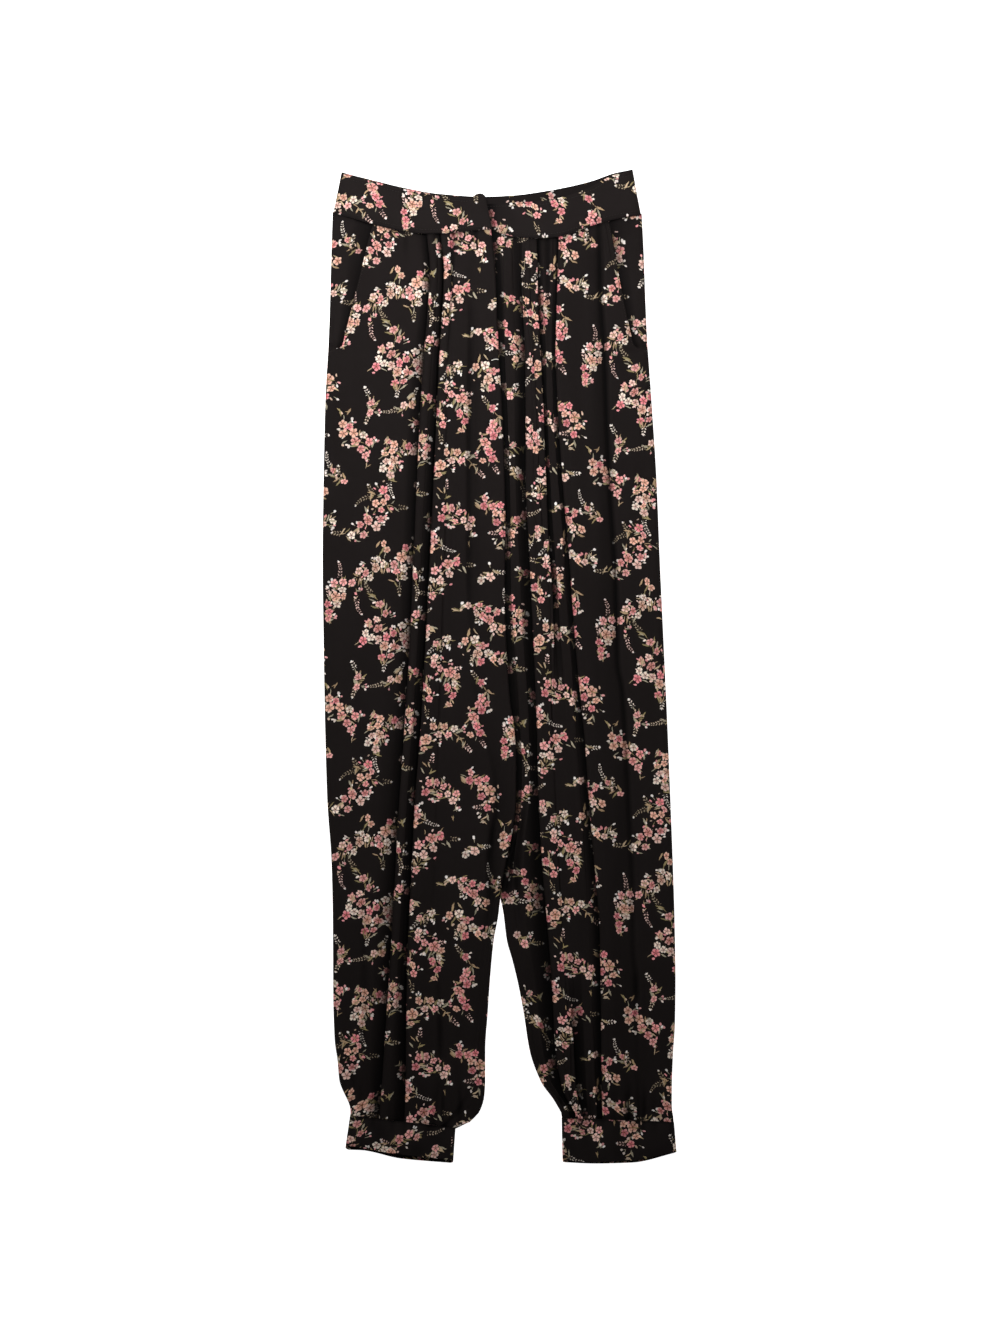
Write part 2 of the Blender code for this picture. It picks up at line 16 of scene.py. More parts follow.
import bpy
import numpy as np
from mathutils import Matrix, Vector


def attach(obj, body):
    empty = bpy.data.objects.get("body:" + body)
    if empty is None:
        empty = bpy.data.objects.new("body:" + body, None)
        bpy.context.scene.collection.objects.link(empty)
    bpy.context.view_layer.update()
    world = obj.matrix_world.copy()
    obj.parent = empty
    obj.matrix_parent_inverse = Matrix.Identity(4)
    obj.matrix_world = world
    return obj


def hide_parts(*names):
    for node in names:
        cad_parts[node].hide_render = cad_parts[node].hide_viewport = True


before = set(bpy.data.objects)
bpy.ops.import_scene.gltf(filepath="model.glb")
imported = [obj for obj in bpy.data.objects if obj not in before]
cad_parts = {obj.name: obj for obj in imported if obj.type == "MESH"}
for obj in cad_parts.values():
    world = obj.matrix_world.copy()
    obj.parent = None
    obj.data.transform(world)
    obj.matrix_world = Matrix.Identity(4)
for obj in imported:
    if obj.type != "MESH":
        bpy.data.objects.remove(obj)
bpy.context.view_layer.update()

LOG = logging.getLogger("trousers")
Array = np.ndarray
Colour = tuple[float, float, float, float]
Pair = tuple[float, float]
Profile = tuple[float, float, float, float]  # of a band: share of its length, offset, height, painted shade
MM = 0.001

# Places on the trousers are in mm: x from the middle to the wearer's left, and down from the
# highest point of the waist. Heights are in mm above the surface that the trousers lie on.
LENGTH = 1074.5  # highest point of the waist to the lowest point of a cuff
WAIST_ROW, WAIST_FADE = 66.0, 160.0  # down to the second, sections bend to the waistband's seam
CUFF_FADE, CUFF_ROW = 985.0, 1031.0  # and from the first on to the cuff's seam
FLY_END, CROTCH = 206.5, 789.5  # the foot of the fly, and where the legs part
FLY_LAP, SEAM_LAP = 10.0, 3.0  # how far the left front runs under the right one, there and below
LAP_ENDS = (772.0, 796.5)  # where that lap draws back
EDGES_ROLL = (776.0, 799.5)  # where the two edges there turn into the folds of the inseams
MOUTH_CORNER, MOUTH_END = 191.0, 198.0  # a pocket mouth's foot, and the side fold's full width
LOW, REST = 2.2, 4.9  # height of a fold's lowest layer and of smooth cloth
FLAT = 0.5  # height of a back's cloth where it lies on the surface
LOWEST, LOWEST_DOUBLED = 0.4, 0.65  # least height of the middle of a wall
ROLLED = ((0.75, 2.4), (0.8, 4.2), (4.2, 5.6))  # in from a folded edge, and height
TUCKED = 1.8  # how far hidden seam allowances run in at the waistband and the cuffs
DARK_SHIFT = 1.8  # from a pleat's dark line (its lap, with painted shade on the low cloth), where its path runs, to its lip
CLOTH, DOUBLED = 0.6, 1.2  # wall of one layer of crepe and of the doubled bands
SEWN_ABOVE = 0.05  # height of the middle of a stitch above the cloth
CELL = 4.4  # size of a small face
SLOTS = 6  # marks that one small face can carry
NOWHERE = 99.0  # m from the cloth, where an unused mark lies
STEPS = 40  # steps along the spine of a sprig
STRAY = 0.8  # how far noise may push the edge of a mark
LONGEST = 8.0  # half the longest mark, with its stray
KINDS = 10.0  # a mark's code is its shape's number times this, plus its length over its width
ANGLE, HALF, CODE, RANK = 2, 3, 4, 8  # columns of the table of marks, beside u, v and the tone
TONE = (5, 6, 7)


class Side(Enum):
    """The wearer's side of the trousers that a piece is cut for."""

    RIGHT = -1
    LEFT = 1


def smooth(low: float, high: float, value: Array | float) -> Array:
    """An S curve from 0 at low to 1 at high."""
    part = np.clip((np.asarray(value, dtype=float) - low) / (high - low), 0.0, 1.0)
    return part * part * (3 - 2 * part)


def between(start: Array | float, end: Array | float, part: Array | float) -> Array:
    """The value that lies part of the way from start to end."""
    return start + (end - start) * part


def hermite(start: Array, end: Array, leave: Array, arrive: Array, part: Array | float) -> Array:
    """A cubic curve from start to end, with its slopes there."""
    return (
        start * (2 * part**3 - 3 * part**2 + 1) + end * (3 * part**2 - 2 * part**3)
        + leave * (part**3 - 2 * part**2 + part) + arrive * (part**3 - part**2))


class Track:
    """A smooth curve through a table's rows. It never overshoots them and is held past its ends."""

    def __init__(self, *rows: tuple[float, ...]) -> None:
        """Fits the curve.

        Args:
            rows: A key and one or more values each, with rising keys.
        """
        table = np.array(rows, dtype=float)
        self.keys, self.values = table[:, 0], table[:, 1:]
        steps = np.diff(self.values, axis=0) / np.diff(self.keys)[:, None]
        before, after = steps[:-1], steps[1:]
        agree = before * after > 0
        inner = np.where(agree, 2 * before * after / np.where(agree, before + after, 1.0), 0.0)
        self.slopes = np.vstack([steps[:1], inner, steps[-1:]])

    def at(self, key: Array | float, column: int = 0) -> Array:
        """Reads the curve.

        Args:
            key: Where to read it.
            column: Which of its values.

        Returns:
            The value at each key.
        """
        key = np.clip(key, self.keys[0], self.keys[-1])
        index = np.clip(np.searchsorted(self.keys, key, side="right") - 1, 0, len(self.keys) - 2)
        width = self.keys[index + 1] - self.keys[index]
        part = (key - self.keys[index]) / width
        (start, end), (leave, arrive) = (
            (rows[index, column], rows[index + 1, column]) for rows in (self.values, self.slopes))
        return hermite(start, end, leave * width, arrive * width, part)


# The seam of the centre front down to the crotch, and the seam under the back waistband.
CENTRE = Track(
    (61.5, -8), (107, -3), (154.5, -1), (206.5, 1.5), (282, 5.5), (379, 8), (465.5, 7.5),
    (530.5, 10), (573.5, 13), (606, 18), (649, 20), (687, 19.5), (719.5, 15), (748.5, 9),
    (773.5, 4), (786, 1))
SEAM_BACK = Track(
    (-180, 47.5), (-134.5, 58), (-80, 64), (-8, 66), (60, 64.5), (110, 58), (153, 49.5))


# ---------------------------------------------------------------------------------------------
# Cloth sections. A knot is a row of (x, height, shade, sway, band) for each section: shade is how
# much painted shade the fold lays on it, sway how freely it swells and band how wide the band of
# painted shade beside it is.


def knot(x: Array, z: Array | float, shade: Array | float = 0.0, sway: Array | float = 1.0,
         band: Array | float = 5.0) -> Array:
    """One knot for every section, from its five values."""
    return np.stack(np.broadcast_arrays(x, z, shade, sway, band), axis=-1).astype(float)


def fanned(down: Array) -> Array:
    """How wide a fold's band of painted shade is down the leg: pressed narrow at the waist, then
    wider.
    """
    return 0.32 + 0.5 * smooth(85.0, 330.0, down) + 0.35 * smooth(330.0, 650.0, down)


def mixed(one: Sequence[Array], other: Sequence[Array], part: Array) -> list[Array]:
    """Knots of one group moved towards another's by part."""
    return [between(a, b, np.asarray(part)[..., None]) for a, b in zip(one, other)]


def edge(start: Array, inward: int, points: Iterable[Pair]) -> list[Array]:
    """Knots of an edge, from its outermost one inwards.

    Args:
        start: Where the edge runs, for each section.
        inward: The direction of the cloth from it, -1 or 1.
        points: How far in each knot lies, and its height.

    Returns:
        The knots.
    """
    return [knot(start + inward * t, z, 0.0, 0.0) for t, z in points]


def span(one: Array, other: Array, rest: float) -> list[Array]:
    """Knots of smooth cloth between two folds or edges.

    Args:
        one: The last knot before it.
        other: The first knot after it.
        rest: The height of smooth cloth.

    Returns:
        The knots between them. They leave each neighbour's height and painted shade softly.
    """
    gap = other[:, 0] - one[:, 0]
    parts = (0.5,) if gap.max() < 9 else (0.12, 0.3, 0.5, 0.7, 0.88)
    found = []
    for part in parts:
        total = np.tile((rest, 0.0, 1.0), (len(gap), 1))  # height, shade and sway
        for end, away in ((one, gap * part), (other, gap * (1 - part))):
            reach = np.where(end[:, 1] < rest, 7.0, 13.0)
            near = np.exp(-(away / reach) ** 2)
            total[:, 0] += (end[:, 1] - rest) * near
            # painted shade that fades away from each fold
            total[:, 1] += end[:, 2] * np.exp(-(away / (1.6 * end[:, 4])) ** 2)
            total[:, 2] -= (1 - end[:, 3]) * near
        found.append(knot(one[:, 0] + gap * part, total[:, 0], np.clip(total[:, 1], 0, 1),
                          np.clip(total[:, 2], 0, 1)))
    return found


@dataclass(frozen=True)
class Pleat:
    """A long pleat. The cloth on its high side laps over the cloth on its low side.

    Its path gives x and how far it is open: 1 is a full lap, 0.5 a step and 0 smooth cloth.
    """

    high: int  # 1 where its high side is the one to +X, or -1
    path: Track
    band: float = 5.0  # width of the band of painted shade beside it
    lap: float = 5.0  # how far the high side laps over
    lip: float = 1.3  # how much its lip stands up
    margin: float = 2.4  # how far its knots go past the lap

    def reach(self, side: int) -> float:
        """How far its own knots go to one side of its line."""
        return self.lap + self.margin if self.high == side else self.margin

    def knots(self, down: Array, spread: Array, rest: float) -> list[Array]:
        """Eight knots: low cloth, its turn under, the turn back and the high cloth.

        Args:
            down: The sections.
            spread: Half the width that it takes where it lies smooth.
            rest: The height of smooth cloth.

        Returns:
            The knots from -X to +X.
        """
        x, opened = self.path.at(down), self.path.at(down, 1)
        pressed = smooth(WAIST_ROW, 120.0, down)
        layer = 0.85 + 0.15 * pressed
        lip = self.lip * pressed * (1 - 0.6 * smooth(CUFF_FADE, CUFF_ROW, down))
        width = self.lap * np.maximum(2 * opened - 1, 0.0)
        bulge = np.minimum(0.8 * layer, width / 2)
        slack = 0.35 * layer * (1 - width / self.lap)
        # Rows of (place, height, painted shade): the low cloth and its turn under are darkened with
        # painted shade, the lip's underside less, the high cloth not at all.
        heights = (
            (-1.5 - bulge, 0.1, 1.0), (width, 0.0, 1.0), (width + bulge, layer, 1.0),
            (width, 2 * layer - slack + lip / 3, 1.0),
            (0 * width, 2 * layer + slack + lip / 3, 1.0),
            (-bulge, 3 * layer + 0.7 * lip, 0.75), (0 * width, 4 * layer + lip, 0.0),
            (width + 2.0, 4 * layer - 0.1 + lip, 0.0))
        band = self.band * fanned(down)
        lapped = [knot(t, LOW + z, shade, 0.0, band) for t, z, shade in heights]
        flat = [knot(spread * (2 * i / 7 - 1), rest, 0.0, 1.0, band) for i in range(8)]
        points = mixed(flat, lapped, np.minimum(2 * opened, 1.0))
        if self.high < 0:
            points = points[::-1]
            for point in points:
                point[:, 0] *= -1
        for point in points:
            point[:, 0] += x + self.high * DARK_SHIFT
        return points


@dataclass(frozen=True)
class Crease:
    """A soft trough, with painted shade in it. Its left side may stand higher than its right one,
    by step.
    """

    depth: float
    step: float
    path: Track
    band: float = 4.0
    # how much painted shade lies in its bottom
    dark: float = 0.75

    def reach(self, side: int) -> float:
        """How far its own knots go to either side of its line."""
        return 2.0 * abs(side)

    def knots(self, down: Array, spread: Array, rest: float) -> list[Array]:
        """Three knots: its shoulders and its bottom.

        Args:
            down: The sections.
            spread: Half its width.
            rest: The height of smooth cloth.

        Returns:
            The knots from -X to +X.
        """
        x, opened = self.path.at(down), self.path.at(down, 1)
        left, right = rest + self.step * opened / 2, rest - self.step * opened / 2
        bottom = np.minimum(left, right) - self.depth * opened
        dark, band = np.minimum(self.dark * opened, 1.0), self.band * fanned(down)
        near, far = (0.35, 0.0) if self.step < 0 else (0.0, 0.35 if self.step > 0 else 0.0)
        return [
            knot(x - spread, left, dark * near, 1 - 0.5 * opened, band),
            knot(x, bottom, dark, 1 - 0.5 * opened, band),
            knot(x + spread, right, dark * far, 1 - 0.5 * opened, band)]


def joined(folds: Sequence[Pleat | Crease], down: Array, first: Sequence[Array],
           last: Sequence[Array], rest: float) -> Array:
    """All knots across a panel, from its -X edge to its +X edge.

    Args:
        folds: Its folds in order.
        down: The sections.
        first: The knots of its -X edge.
        last: The knots of its +X edge.
        rest: The height of smooth cloth.

    Returns:
        An array of sections by knots by values.
    """
    places = [fold.path.at(down) for fold in folds]
    left, right = first[-1][:, 0], last[0][:, 0]
    knots = list(first)
    for index, (fold, x) in enumerate(zip(folds, places)):
        before = x - (places[index - 1] + folds[index - 1].reach(1) if index else left)
        end = index == len(folds) - 1
        after = (right if end else places[index + 1] - folds[index + 1].reach(-1)) - x
        widest = 7.0 if isinstance(fold, Pleat) else 4.5
        group = fold.knots(down, np.minimum(widest, 0.7 * np.minimum(before, after)), rest)
        knots += span(knots[-1], group[0], rest) + group
    knots += span(knots[-1], last[0], rest) + list(last)
    return np.stack(knots, axis=1)


def refined(knots: Array, step: float = CELL) -> Array:
    """Sections with more columns, on smooth curves through their knots.

    Args:
        knots: Sections by knots by values.
        step: The widest space between two columns, in millimetres.

    Returns:
        Sections by columns by values.
    """
    places = knots[:, :, :2]
    chords = np.diff(places, axis=1)
    lengths = np.linalg.norm(chords, axis=2).clip(1e-6)
    units = chords / lengths[..., None]
    pulls = units * (1 / lengths[..., None])
    tangents = np.concatenate([units[:, :1], pulls[:, :-1] + pulls[:, 1:], units[:, -1:]], axis=1)
    tangents /= np.linalg.norm(tangents, axis=2, keepdims=True).clip(1e-6)
    columns = []
    for index in range(knots.shape[1] - 1):
        count = max(2, math.ceil(lengths[:, index].max() / step))
        reach = np.minimum(lengths[:, index], 8.0)[:, None]
        slopes = tangents[:, index] * reach, tangents[:, index + 1] * reach
        for part in (i / count for i in range(count)):
            column = knots[:, index] * (1 - part) + knots[:, index + 1] * part
            column[:, :2] = hermite(places[:, index], places[:, index + 1], *slopes, part)
            columns.append(column)
    columns.append(knots[:, -1].copy())
    return np.stack(columns, axis=1)


# ---------------------------------------------------------------------------------------------
# The print


class Mark(NamedTuple):
    """One painted mark on flat cloth, in millimetres."""

    u: float
    v: float
    angle: float
    half: float
    code: float
    tone: tuple[float, float, float]
    rank: float


class Shape(Enum):
    """What a mark draws."""

    BUD = 0
    LEAF = 1
    TASSEL = 2
    BLOSSOM = 3
    ROSE = 4


class Bloom(Enum):
    """The colours of the petals, as sRGB."""

    PINK = (252, 180, 174)
    ROSY = (248, 164, 160)
    DEEP = (242, 142, 148)
    SALMON = (250, 194, 168)
    CREAM = (255, 238, 220)
    BLUSH = (255, 214, 198)


class Green(Enum):
    """The colours of leaves and stems, as sRGB."""

    TAN = (214, 188, 152)
    OLIVE = (162, 146, 104)
    SAGE = (180, 170, 146)
    DRY = (190, 160, 124)


BUD_TONES = ((252, 244, 238), (246, 230, 218), (250, 238, 230), (240, 172, 170))
TASSEL_TONES = ((242, 228, 214), (210, 190, 166), (176, 158, 132), (240, 202, 190))
ROSE_TONES = ((248, 192, 166), (248, 206, 180), (246, 172, 160))
FLORET_TONES = ((246, 210, 198), (240, 158, 160), (224, 192, 168), (250, 234, 222))
INK = 0.97  # how much light the ink gives back beside its colour in bright light


def linear(tone: Sequence[float]) -> tuple[float, float, float]:
    """A colour in sRGB, 0 to 255, as linear light."""
    return tuple(
        (c / 255 / 12.92) if c / 255 <= 0.04045 else ((c / 255 + 0.055) / 1.055) ** 2.4
        for c in tone)


@dataclass
class Sprig:
    """A curved sprig: a bouquet of blossoms along a spine, with leaves, loose buds and tassels."""

    spine: tuple[Pair, ...]
    chance: random.Random
    blossoms: int
    roses: int
    breadth: float  # mm, how far blossoms stray from the thick of the spine
    marks: list[Mark] = field(default_factory=list)

    def __post_init__(self) -> None:
        """Draws all marks."""
        self.draw, self.pick = self.chance.uniform, self.chance.choice
        spine = Track(*((k, x, y) for k, (x, y) in enumerate(self.spine)))
        steps = np.linspace(0, len(self.spine) - 1, STEPS + 1)
        self.path = list(zip(spine.at(steps).tolist(), spine.at(steps, 1).tolist()))
        self.thick = self.draw(0.3, 0.7)
        self.taken: list[tuple[float, float, float]] = []
        self._petals()
        self._leaves()
        self._florets()
        self._loose_buds()
        for end, next_one in ((0, 5), (-1, -6)):
            if self.chance.random() < 0.5:
                (x, y), (x1, y1) = self.path[end], self.path[next_one]
                self._tassel(x, y, math.atan2(y - y1, x - x1), self.pick((1, 1, 2)))
        for _ in range(self.pick((0, 0, 1))):
            side = self.pick((-1, 1))
            x, y, angle = self._place(self.draw(0.2, 0.8), side * self.breadth * 0.8)
            self._tassel(x, y, angle + side * self.draw(0.8, 1.6), 1)

    def _place(self, part: float, offset: float) -> tuple[float, float, float]:
        """A place beside the spine.

        Args:
            part: How far along it, from 0 to 1.
            offset: How far to its side.

        Returns:
            The place and the spine's direction there.
        """
        index = min(max(round(part * STEPS), 1), STEPS - 1)
        (x0, y0), (x, y), (x1, y1) = self.path[index - 1:index + 2]
        angle = math.atan2(y1 - y0, x1 - x0)
        return x - math.sin(angle) * offset, y + math.cos(angle) * offset, angle

    def _reach(self, part: float) -> float:
        """How far from the spine the bouquet reaches at part along it."""
        return 1.0 + self.breadth * max(1 - abs(part - self.thick) / 0.6, 0.0) ** 0.7

    def _add(self, x: float, y: float, angle: float, half: float, ratio: float,
             tone: Sequence[float], rank: float, shape: Shape = Shape.BUD) -> None:
        """Draws one mark, with a little life in its tone.

        Args:
            x: Its middle.
            y: Its middle.
            angle: Where it points.
            half: Half its length.
            ratio: Its length over its width.
            tone: Its colour as sRGB.
            rank: How high it lies on the others.
            shape: What it draws.
        """
        glow = self.draw(0.72, 1.06) * INK
        self.marks.append(Mark(
            x, y, angle, half, shape.value * KINDS + ratio, tuple(c * glow for c in linear(tone)),
            rank + self.chance.random() * 0.5))

    def _petals(self) -> None:
        """Blossoms that lean on each other, larger and wider spread in the thick."""
        kinds = list(Bloom)
        first, tries = self.chance.randrange(len(kinds)), 0
        while len(self.taken) < self.roses + self.blossoms and tries < 300:
            tries += 1
            rose = len(self.taken) < self.roses
            part = (self.draw(self.thick - 0.1, self.thick + 0.1) if rose
                    else self.chance.triangular(0.02, 0.98, self.thick))
            reach = self._reach(part)
            x, y, _ = self._place(part, self.draw(-reach, reach) * (0.5 if rose else 1))
            half = self.draw(5.6, 6.6) if rose else self.draw(3.3, 4.6) + 0.7 * reach / self.breadth
            if any(math.hypot(x - a, y - b) < 0.82 * (half + r) for a, b, r in self.taken):
                continue
            self.taken.append((x, y, half))
            kind = kinds[(first + round(part * 3) + self.pick((-1, 0, 0, 1, 2))) % len(kinds)]
            self._add(x, y, self.draw(0, math.tau), half, self.pick((1.0, 1.0, 1.08, 1.25, 1.45)),
                      self.pick(ROSE_TONES) if rose else kind.value, 3,
                      Shape.ROSE if rose else Shape.BLOSSOM)

    def _leaves(self) -> None:
        """Slender pointed leaves that fan out of the bouquet, and thin stems along its spine."""
        greens = [green.value for green in Green]
        for index in range(6 + 2 * len(self.taken)):
            part, side = self.draw(0.0, 1.0), 1 if index % 2 else -1
            x, y, angle = self._place(part, side * self._reach(part) * self.draw(0.3, 1.15))
            lean = side * self.draw(0.3, 1.2) + (0 if part > self.thick else math.pi)
            self._add(x, y, angle + lean, self.draw(2.6, 5.4), self.draw(4.2, 6.8),
                      self.pick(greens), self.pick((1, 1, 1, 3.3)), Shape.LEAF)
        for step in range(1, STEPS, 5):
            x, y, angle = self._place(step / STEPS, self.draw(-1, 1))
            self._add(x, y, angle + self.draw(-0.3, 0.3), 4.0, 9.0, self.pick(greens), 0,
                      Shape.LEAF)

    def _florets(self) -> None:
        """Single petals and tiny florets that fill the chinks of the bouquet."""
        for _ in range(2 * len(self.taken)):
            part = self.chance.triangular(0.0, 1.0, self.thick)
            reach = self._reach(part) * self.pick((1.1, 1.1, 1.6))
            x, y, _ = self._place(part, self.draw(-reach, reach))
            self._add(x, y, self.draw(0, math.tau), self.draw(1.2, 2.2), self.draw(1.3, 2.2),
                      self.pick(FLORET_TONES), 2)

    def _loose_buds(self) -> None:
        """Round buds on short stalks that fan off the blossoms, up to three together."""
        for _ in range(4 if self.blossoms > 4 else 1):
            side, part = self.pick((-1, 1)), self.draw(0.05, 0.95)
            x, y, angle = self._place(part, side * (self._reach(part) + 1.5))
            angle += side * self.draw(0.3, 1.4)
            for turn in (-0.5, 0.6, 0.0)[:self.pick((1, 2, 3))]:
                stalk, way = self.draw(3.0, 5.5), angle + turn
                dx, dy = math.cos(way) * stalk, math.sin(way) * stalk
                self._add(x + dx, y + dy, way, self.draw(1.3, 1.9), self.draw(1.2, 1.7),
                          self.pick(BUD_TONES), 2)
                self._add(x + dx * 0.4, y + dy * 0.4, way, stalk * 0.6, 8.0, Green.SAGE.value, 0,
                          Shape.LEAF)

    def _tassel(self, x: float, y: float, angle: float, lengths: int) -> None:
        """A curling tail of small leaflets in pairs, three to a length, with a bud at its tip.

        Args:
            x: Where it starts.
            y: Where it starts.
            angle: Where it points.
            lengths: How many lengths it has.
        """
        curl = self.pick((-1, 1)) * self.draw(0.2, 0.5)
        tone, half, ratio = self.pick(TASSEL_TONES), 4.7, 1.55
        for _ in range(lengths):
            dx, dy = math.cos(angle) * half, math.sin(angle) * half
            self._add(x + dx, y + dy, angle, half, ratio, tone, 2.6, Shape.TASSEL)
            x, y = x + dx + dx, y + dy + dy
            angle, half, ratio = angle + curl, half * 0.82, ratio * 1.2
        self._add(x, y, angle, 1.2, 1.4, BUD_TONES[0], 2)


PETALS = 5
HEART = (0.42, 0.060, 0.075, 1.0)
STAMENS = (0.16, 0.075, 0.030, 1.0)
INK_DARK = (0.020, 0.008, 0.006, 1.0)
PALE = (0.86, 0.74, 0.66, 1.0)
ARC = ((-30, 10), (-15, -3), (0, -8), (15, -3), (30, 10))
WAVE = ((-33, -8), (-16, 6), (0, 1), (16, -5), (33, 8))
HOOK = ((-28, -5), (-11, -9), (7, -4), (18, 9), (20, 26))
SLOPE = ((-24, -4), (-8, 3), (8, 1), (24, 6))
TUFT = ((-11, 2), (0, -2), (11, 2))


@dataclass
class PrintedCloth:
    """The printed crepe: sprigs in a half-drop repeat, and the marks that cross each small face."""

    width: float = 236.0
    height: float = 296.0
    seed: int = 41
    tries: int = 90  # places tried for each sprig
    shapes: tuple[tuple, ...] = (
        ARC, WAVE, HOOK, WAVE, SLOPE, ARC, HOOK, WAVE, ARC, SLOPE, HOOK, WAVE, ARC, HOOK, SLOPE,
        WAVE, ARC, HOOK, SLOPE, WAVE, *(TUFT,) * 10)

    def __post_init__(self) -> None:
        """Draws the repeat once, each sprig in the widest gap that the earlier ones leave."""
        chance = random.Random(self.seed)
        shifts = np.array([(i * self.width, (i / 2 + j) * self.height)
                           for i in (-1, 0, 1) for j in (-2, -1, 0, 1, 2)])
        taken = np.empty((0, 2))
        marks: list[Mark] = []
        for shape in self.shapes:
            best = (-1.0,)
            for _ in range(self.tries):
                u, v = chance.uniform(0, self.width), chance.uniform(0, self.height)
                turn, mirror = chance.uniform(0, math.tau), chance.choice((-1, 1))
                spots = np.array([self._turned(x, y, u, v, turn, mirror) for x, y in shape])
                gaps = spots[:, None, None] - taken[None, :, None] + shifts
                clear = float(np.linalg.norm(gaps, axis=-1).min()) if len(taken) else 0.0
                if clear > best[0]:
                    best = (clear, u, v, turn, mirror, spots)
            _, u, v, turn, mirror, spots = best
            taken = np.vstack([taken, spots])
            if shape is TUFT:
                sprig = Sprig(shape, chance, blossoms=2, roses=0, breadth=4.0)
            else:
                sprig = Sprig(shape, chance, 8, chance.choice((0, 1, 1)), chance.uniform(6.0, 10.5))
            for mark in sprig.marks:
                x, y = self._turned(mark.u, mark.v, u, v, turn, mirror)
                marks.append(mark._replace(u=x, v=y, angle=mark.angle * mirror + turn))
        self.table = np.array([
            (m.u, m.v, m.angle, m.half, m.code, *m.tone, m.rank) for m in marks])

    @staticmethod
    def _turned(x: float, y: float, u: float, v: float, turn: float, mirror: int) -> Pair:
        """A place of a sprig on the cloth."""
        c, s = math.cos(turn), math.sin(turn)
        return u + c * x - s * y * mirror, v + s * x + c * y * mirror

    def over(self, low: Array, high: Array) -> Array:
        """All marks that may touch a stretch of cloth.

        Args:
            low: Its lowest u and v, in millimetres.
            high: Its highest u and v.

        Returns:
            A row for each mark: u, v, angle, half, code, red, green, blue and rank.
        """
        found, repeat = [], (self.width, self.height)
        (left, top), (right, foot) = low // repeat, high // repeat
        for column in range(int(left) - 1, int(right) + 3):
            drop = self.height / 2 if column % 2 else 0.0
            for row in range(int(top) - 2, int(foot) + 3):
                moved = self.table.copy()
                moved[:, 0] += column * self.width
                moved[:, 1] += row * self.height + drop
                found.append(moved)
        marks = np.vstack(found)
        inside = (marks[:, :2] > low - LONGEST) & (marks[:, :2] < high + LONGEST)
        return marks[inside.all(axis=1)]

    def slots(self, corners: Array, name: str) -> tuple[Array, Array]:
        """The marks that show on each small face, with the topmost first.

        Args:
            corners: Faces by corners by (u, v) on the flat cloth, in millimetres.
            name: The piece, for the report.

        Returns:
            Slots by faces by (u, v, cos, sin), where cos and sin are over half the mark's length
            and all is in metres, and slots by faces by (r, g, b, code).
        """
        count = len(corners)
        marks = self.over(corners.min(axis=(0, 1)), corners.max(axis=(0, 1)))
        low, high = corners.min(axis=1), corners.max(axis=1)
        pairs, batch = [], 256
        for start in range(0, len(marks), batch):
            block = marks[start:start + batch]
            hits = np.ones((len(block), count), dtype=bool)
            for axis in (0, 1):
                hits &= block[:, None, axis] - block[:, None, HALF] < high[None, :, axis]
                hits &= block[:, None, axis] + block[:, None, HALF] > low[None, :, axis]
            which, faces = np.nonzero(hits)
            pairs.append(np.stack([which + start, faces]))
        which, faces = np.hstack(pairs)
        order = np.lexsort((-marks[which, RANK], faces))
        which, faces = which[order], faces[order]
        first = np.searchsorted(faces, np.arange(count))
        turn = np.arange(len(faces)) - first[faces]

        grid = np.linspace(0, 1, 5)
        across, along = (part.ravel() for part in np.meshgrid(grid, grid))
        shares = np.stack([(1 - across) * (1 - along), (1 - across) * along, across * along,
                           across * (1 - along)])
        samples = np.einsum("fcd,cs->fsd", corners, shares)
        covered = np.zeros(samples.shape[:2], dtype=bool)
        used, lost = np.zeros(count, dtype=int), 0
        chosen = np.full((SLOTS, count), -1)
        for step in range(turn.max() + 1 if len(turn) else 0):
            now = turn == step
            mark, face = marks[which[now]], faces[now]
            away = samples[face] - mark[:, None, :2]
            c, s = np.cos(mark[:, ANGLE, None]), np.sin(mark[:, ANGLE, None])
            half, (shape, ratio) = mark[:, HALF, None], np.divmod(mark[:, CODE, None], KINDS)
            x = away[..., 0] * c + away[..., 1] * s
            y = away[..., 1] * c - away[..., 0] * s
            wide = half / ratio
            seen = (x / (half + STRAY)) ** 2 + (y / (wide + STRAY)) ** 2 < 1
            solid = ((x / half) ** 2 + (y / wide) ** 2 < 0.3) & (shape != Shape.TASSEL.value)
            shows = (seen & ~covered[face]).any(axis=1)
            lost += int((shows & (used[face] >= SLOTS)).sum())
            keep = shows & (used[face] < SLOTS)
            chosen[used[face[keep]], face[keep]] = which[now][keep]
            used[face[keep]] += 1
            covered[face] |= solid
        LOG.info("%s: %d small faces, %d marks, %d did not fit", name, count, len(marks), lost)

        empty = [NOWHERE / MM, NOWHERE / MM, 0.0, 1.0, 1.0, 0, 0, 0, 0]
        full = np.vstack([marks, empty])[chosen]
        half, angle = full[..., HALF] * MM, full[..., ANGLE]
        place = np.stack([
            full[..., 0] * MM, full[..., 1] * MM, np.cos(angle) / half, np.sin(angle) / half],
            axis=-1)
        return place, full[..., [*TONE, CODE]]


# ---------------------------------------------------------------------------------------------
# Nodes and finishes


def operator(operation: str, swapped: bool = False) -> Callable[..., "Socket"]:
    """An operator that adds a Math node.

    Args:
        operation: What the node does.
        swapped: Whether the socket stands after a number.

    Returns:
        The method.
    """

    def method(self: "Socket", *others: "Socket | float") -> "Socket":
        """Adds the Math node."""
        values = (*others, self) if swapped else (self, *others)
        return self.owner.node("ShaderNodeMath", {"operation": operation}, *values)

    return method


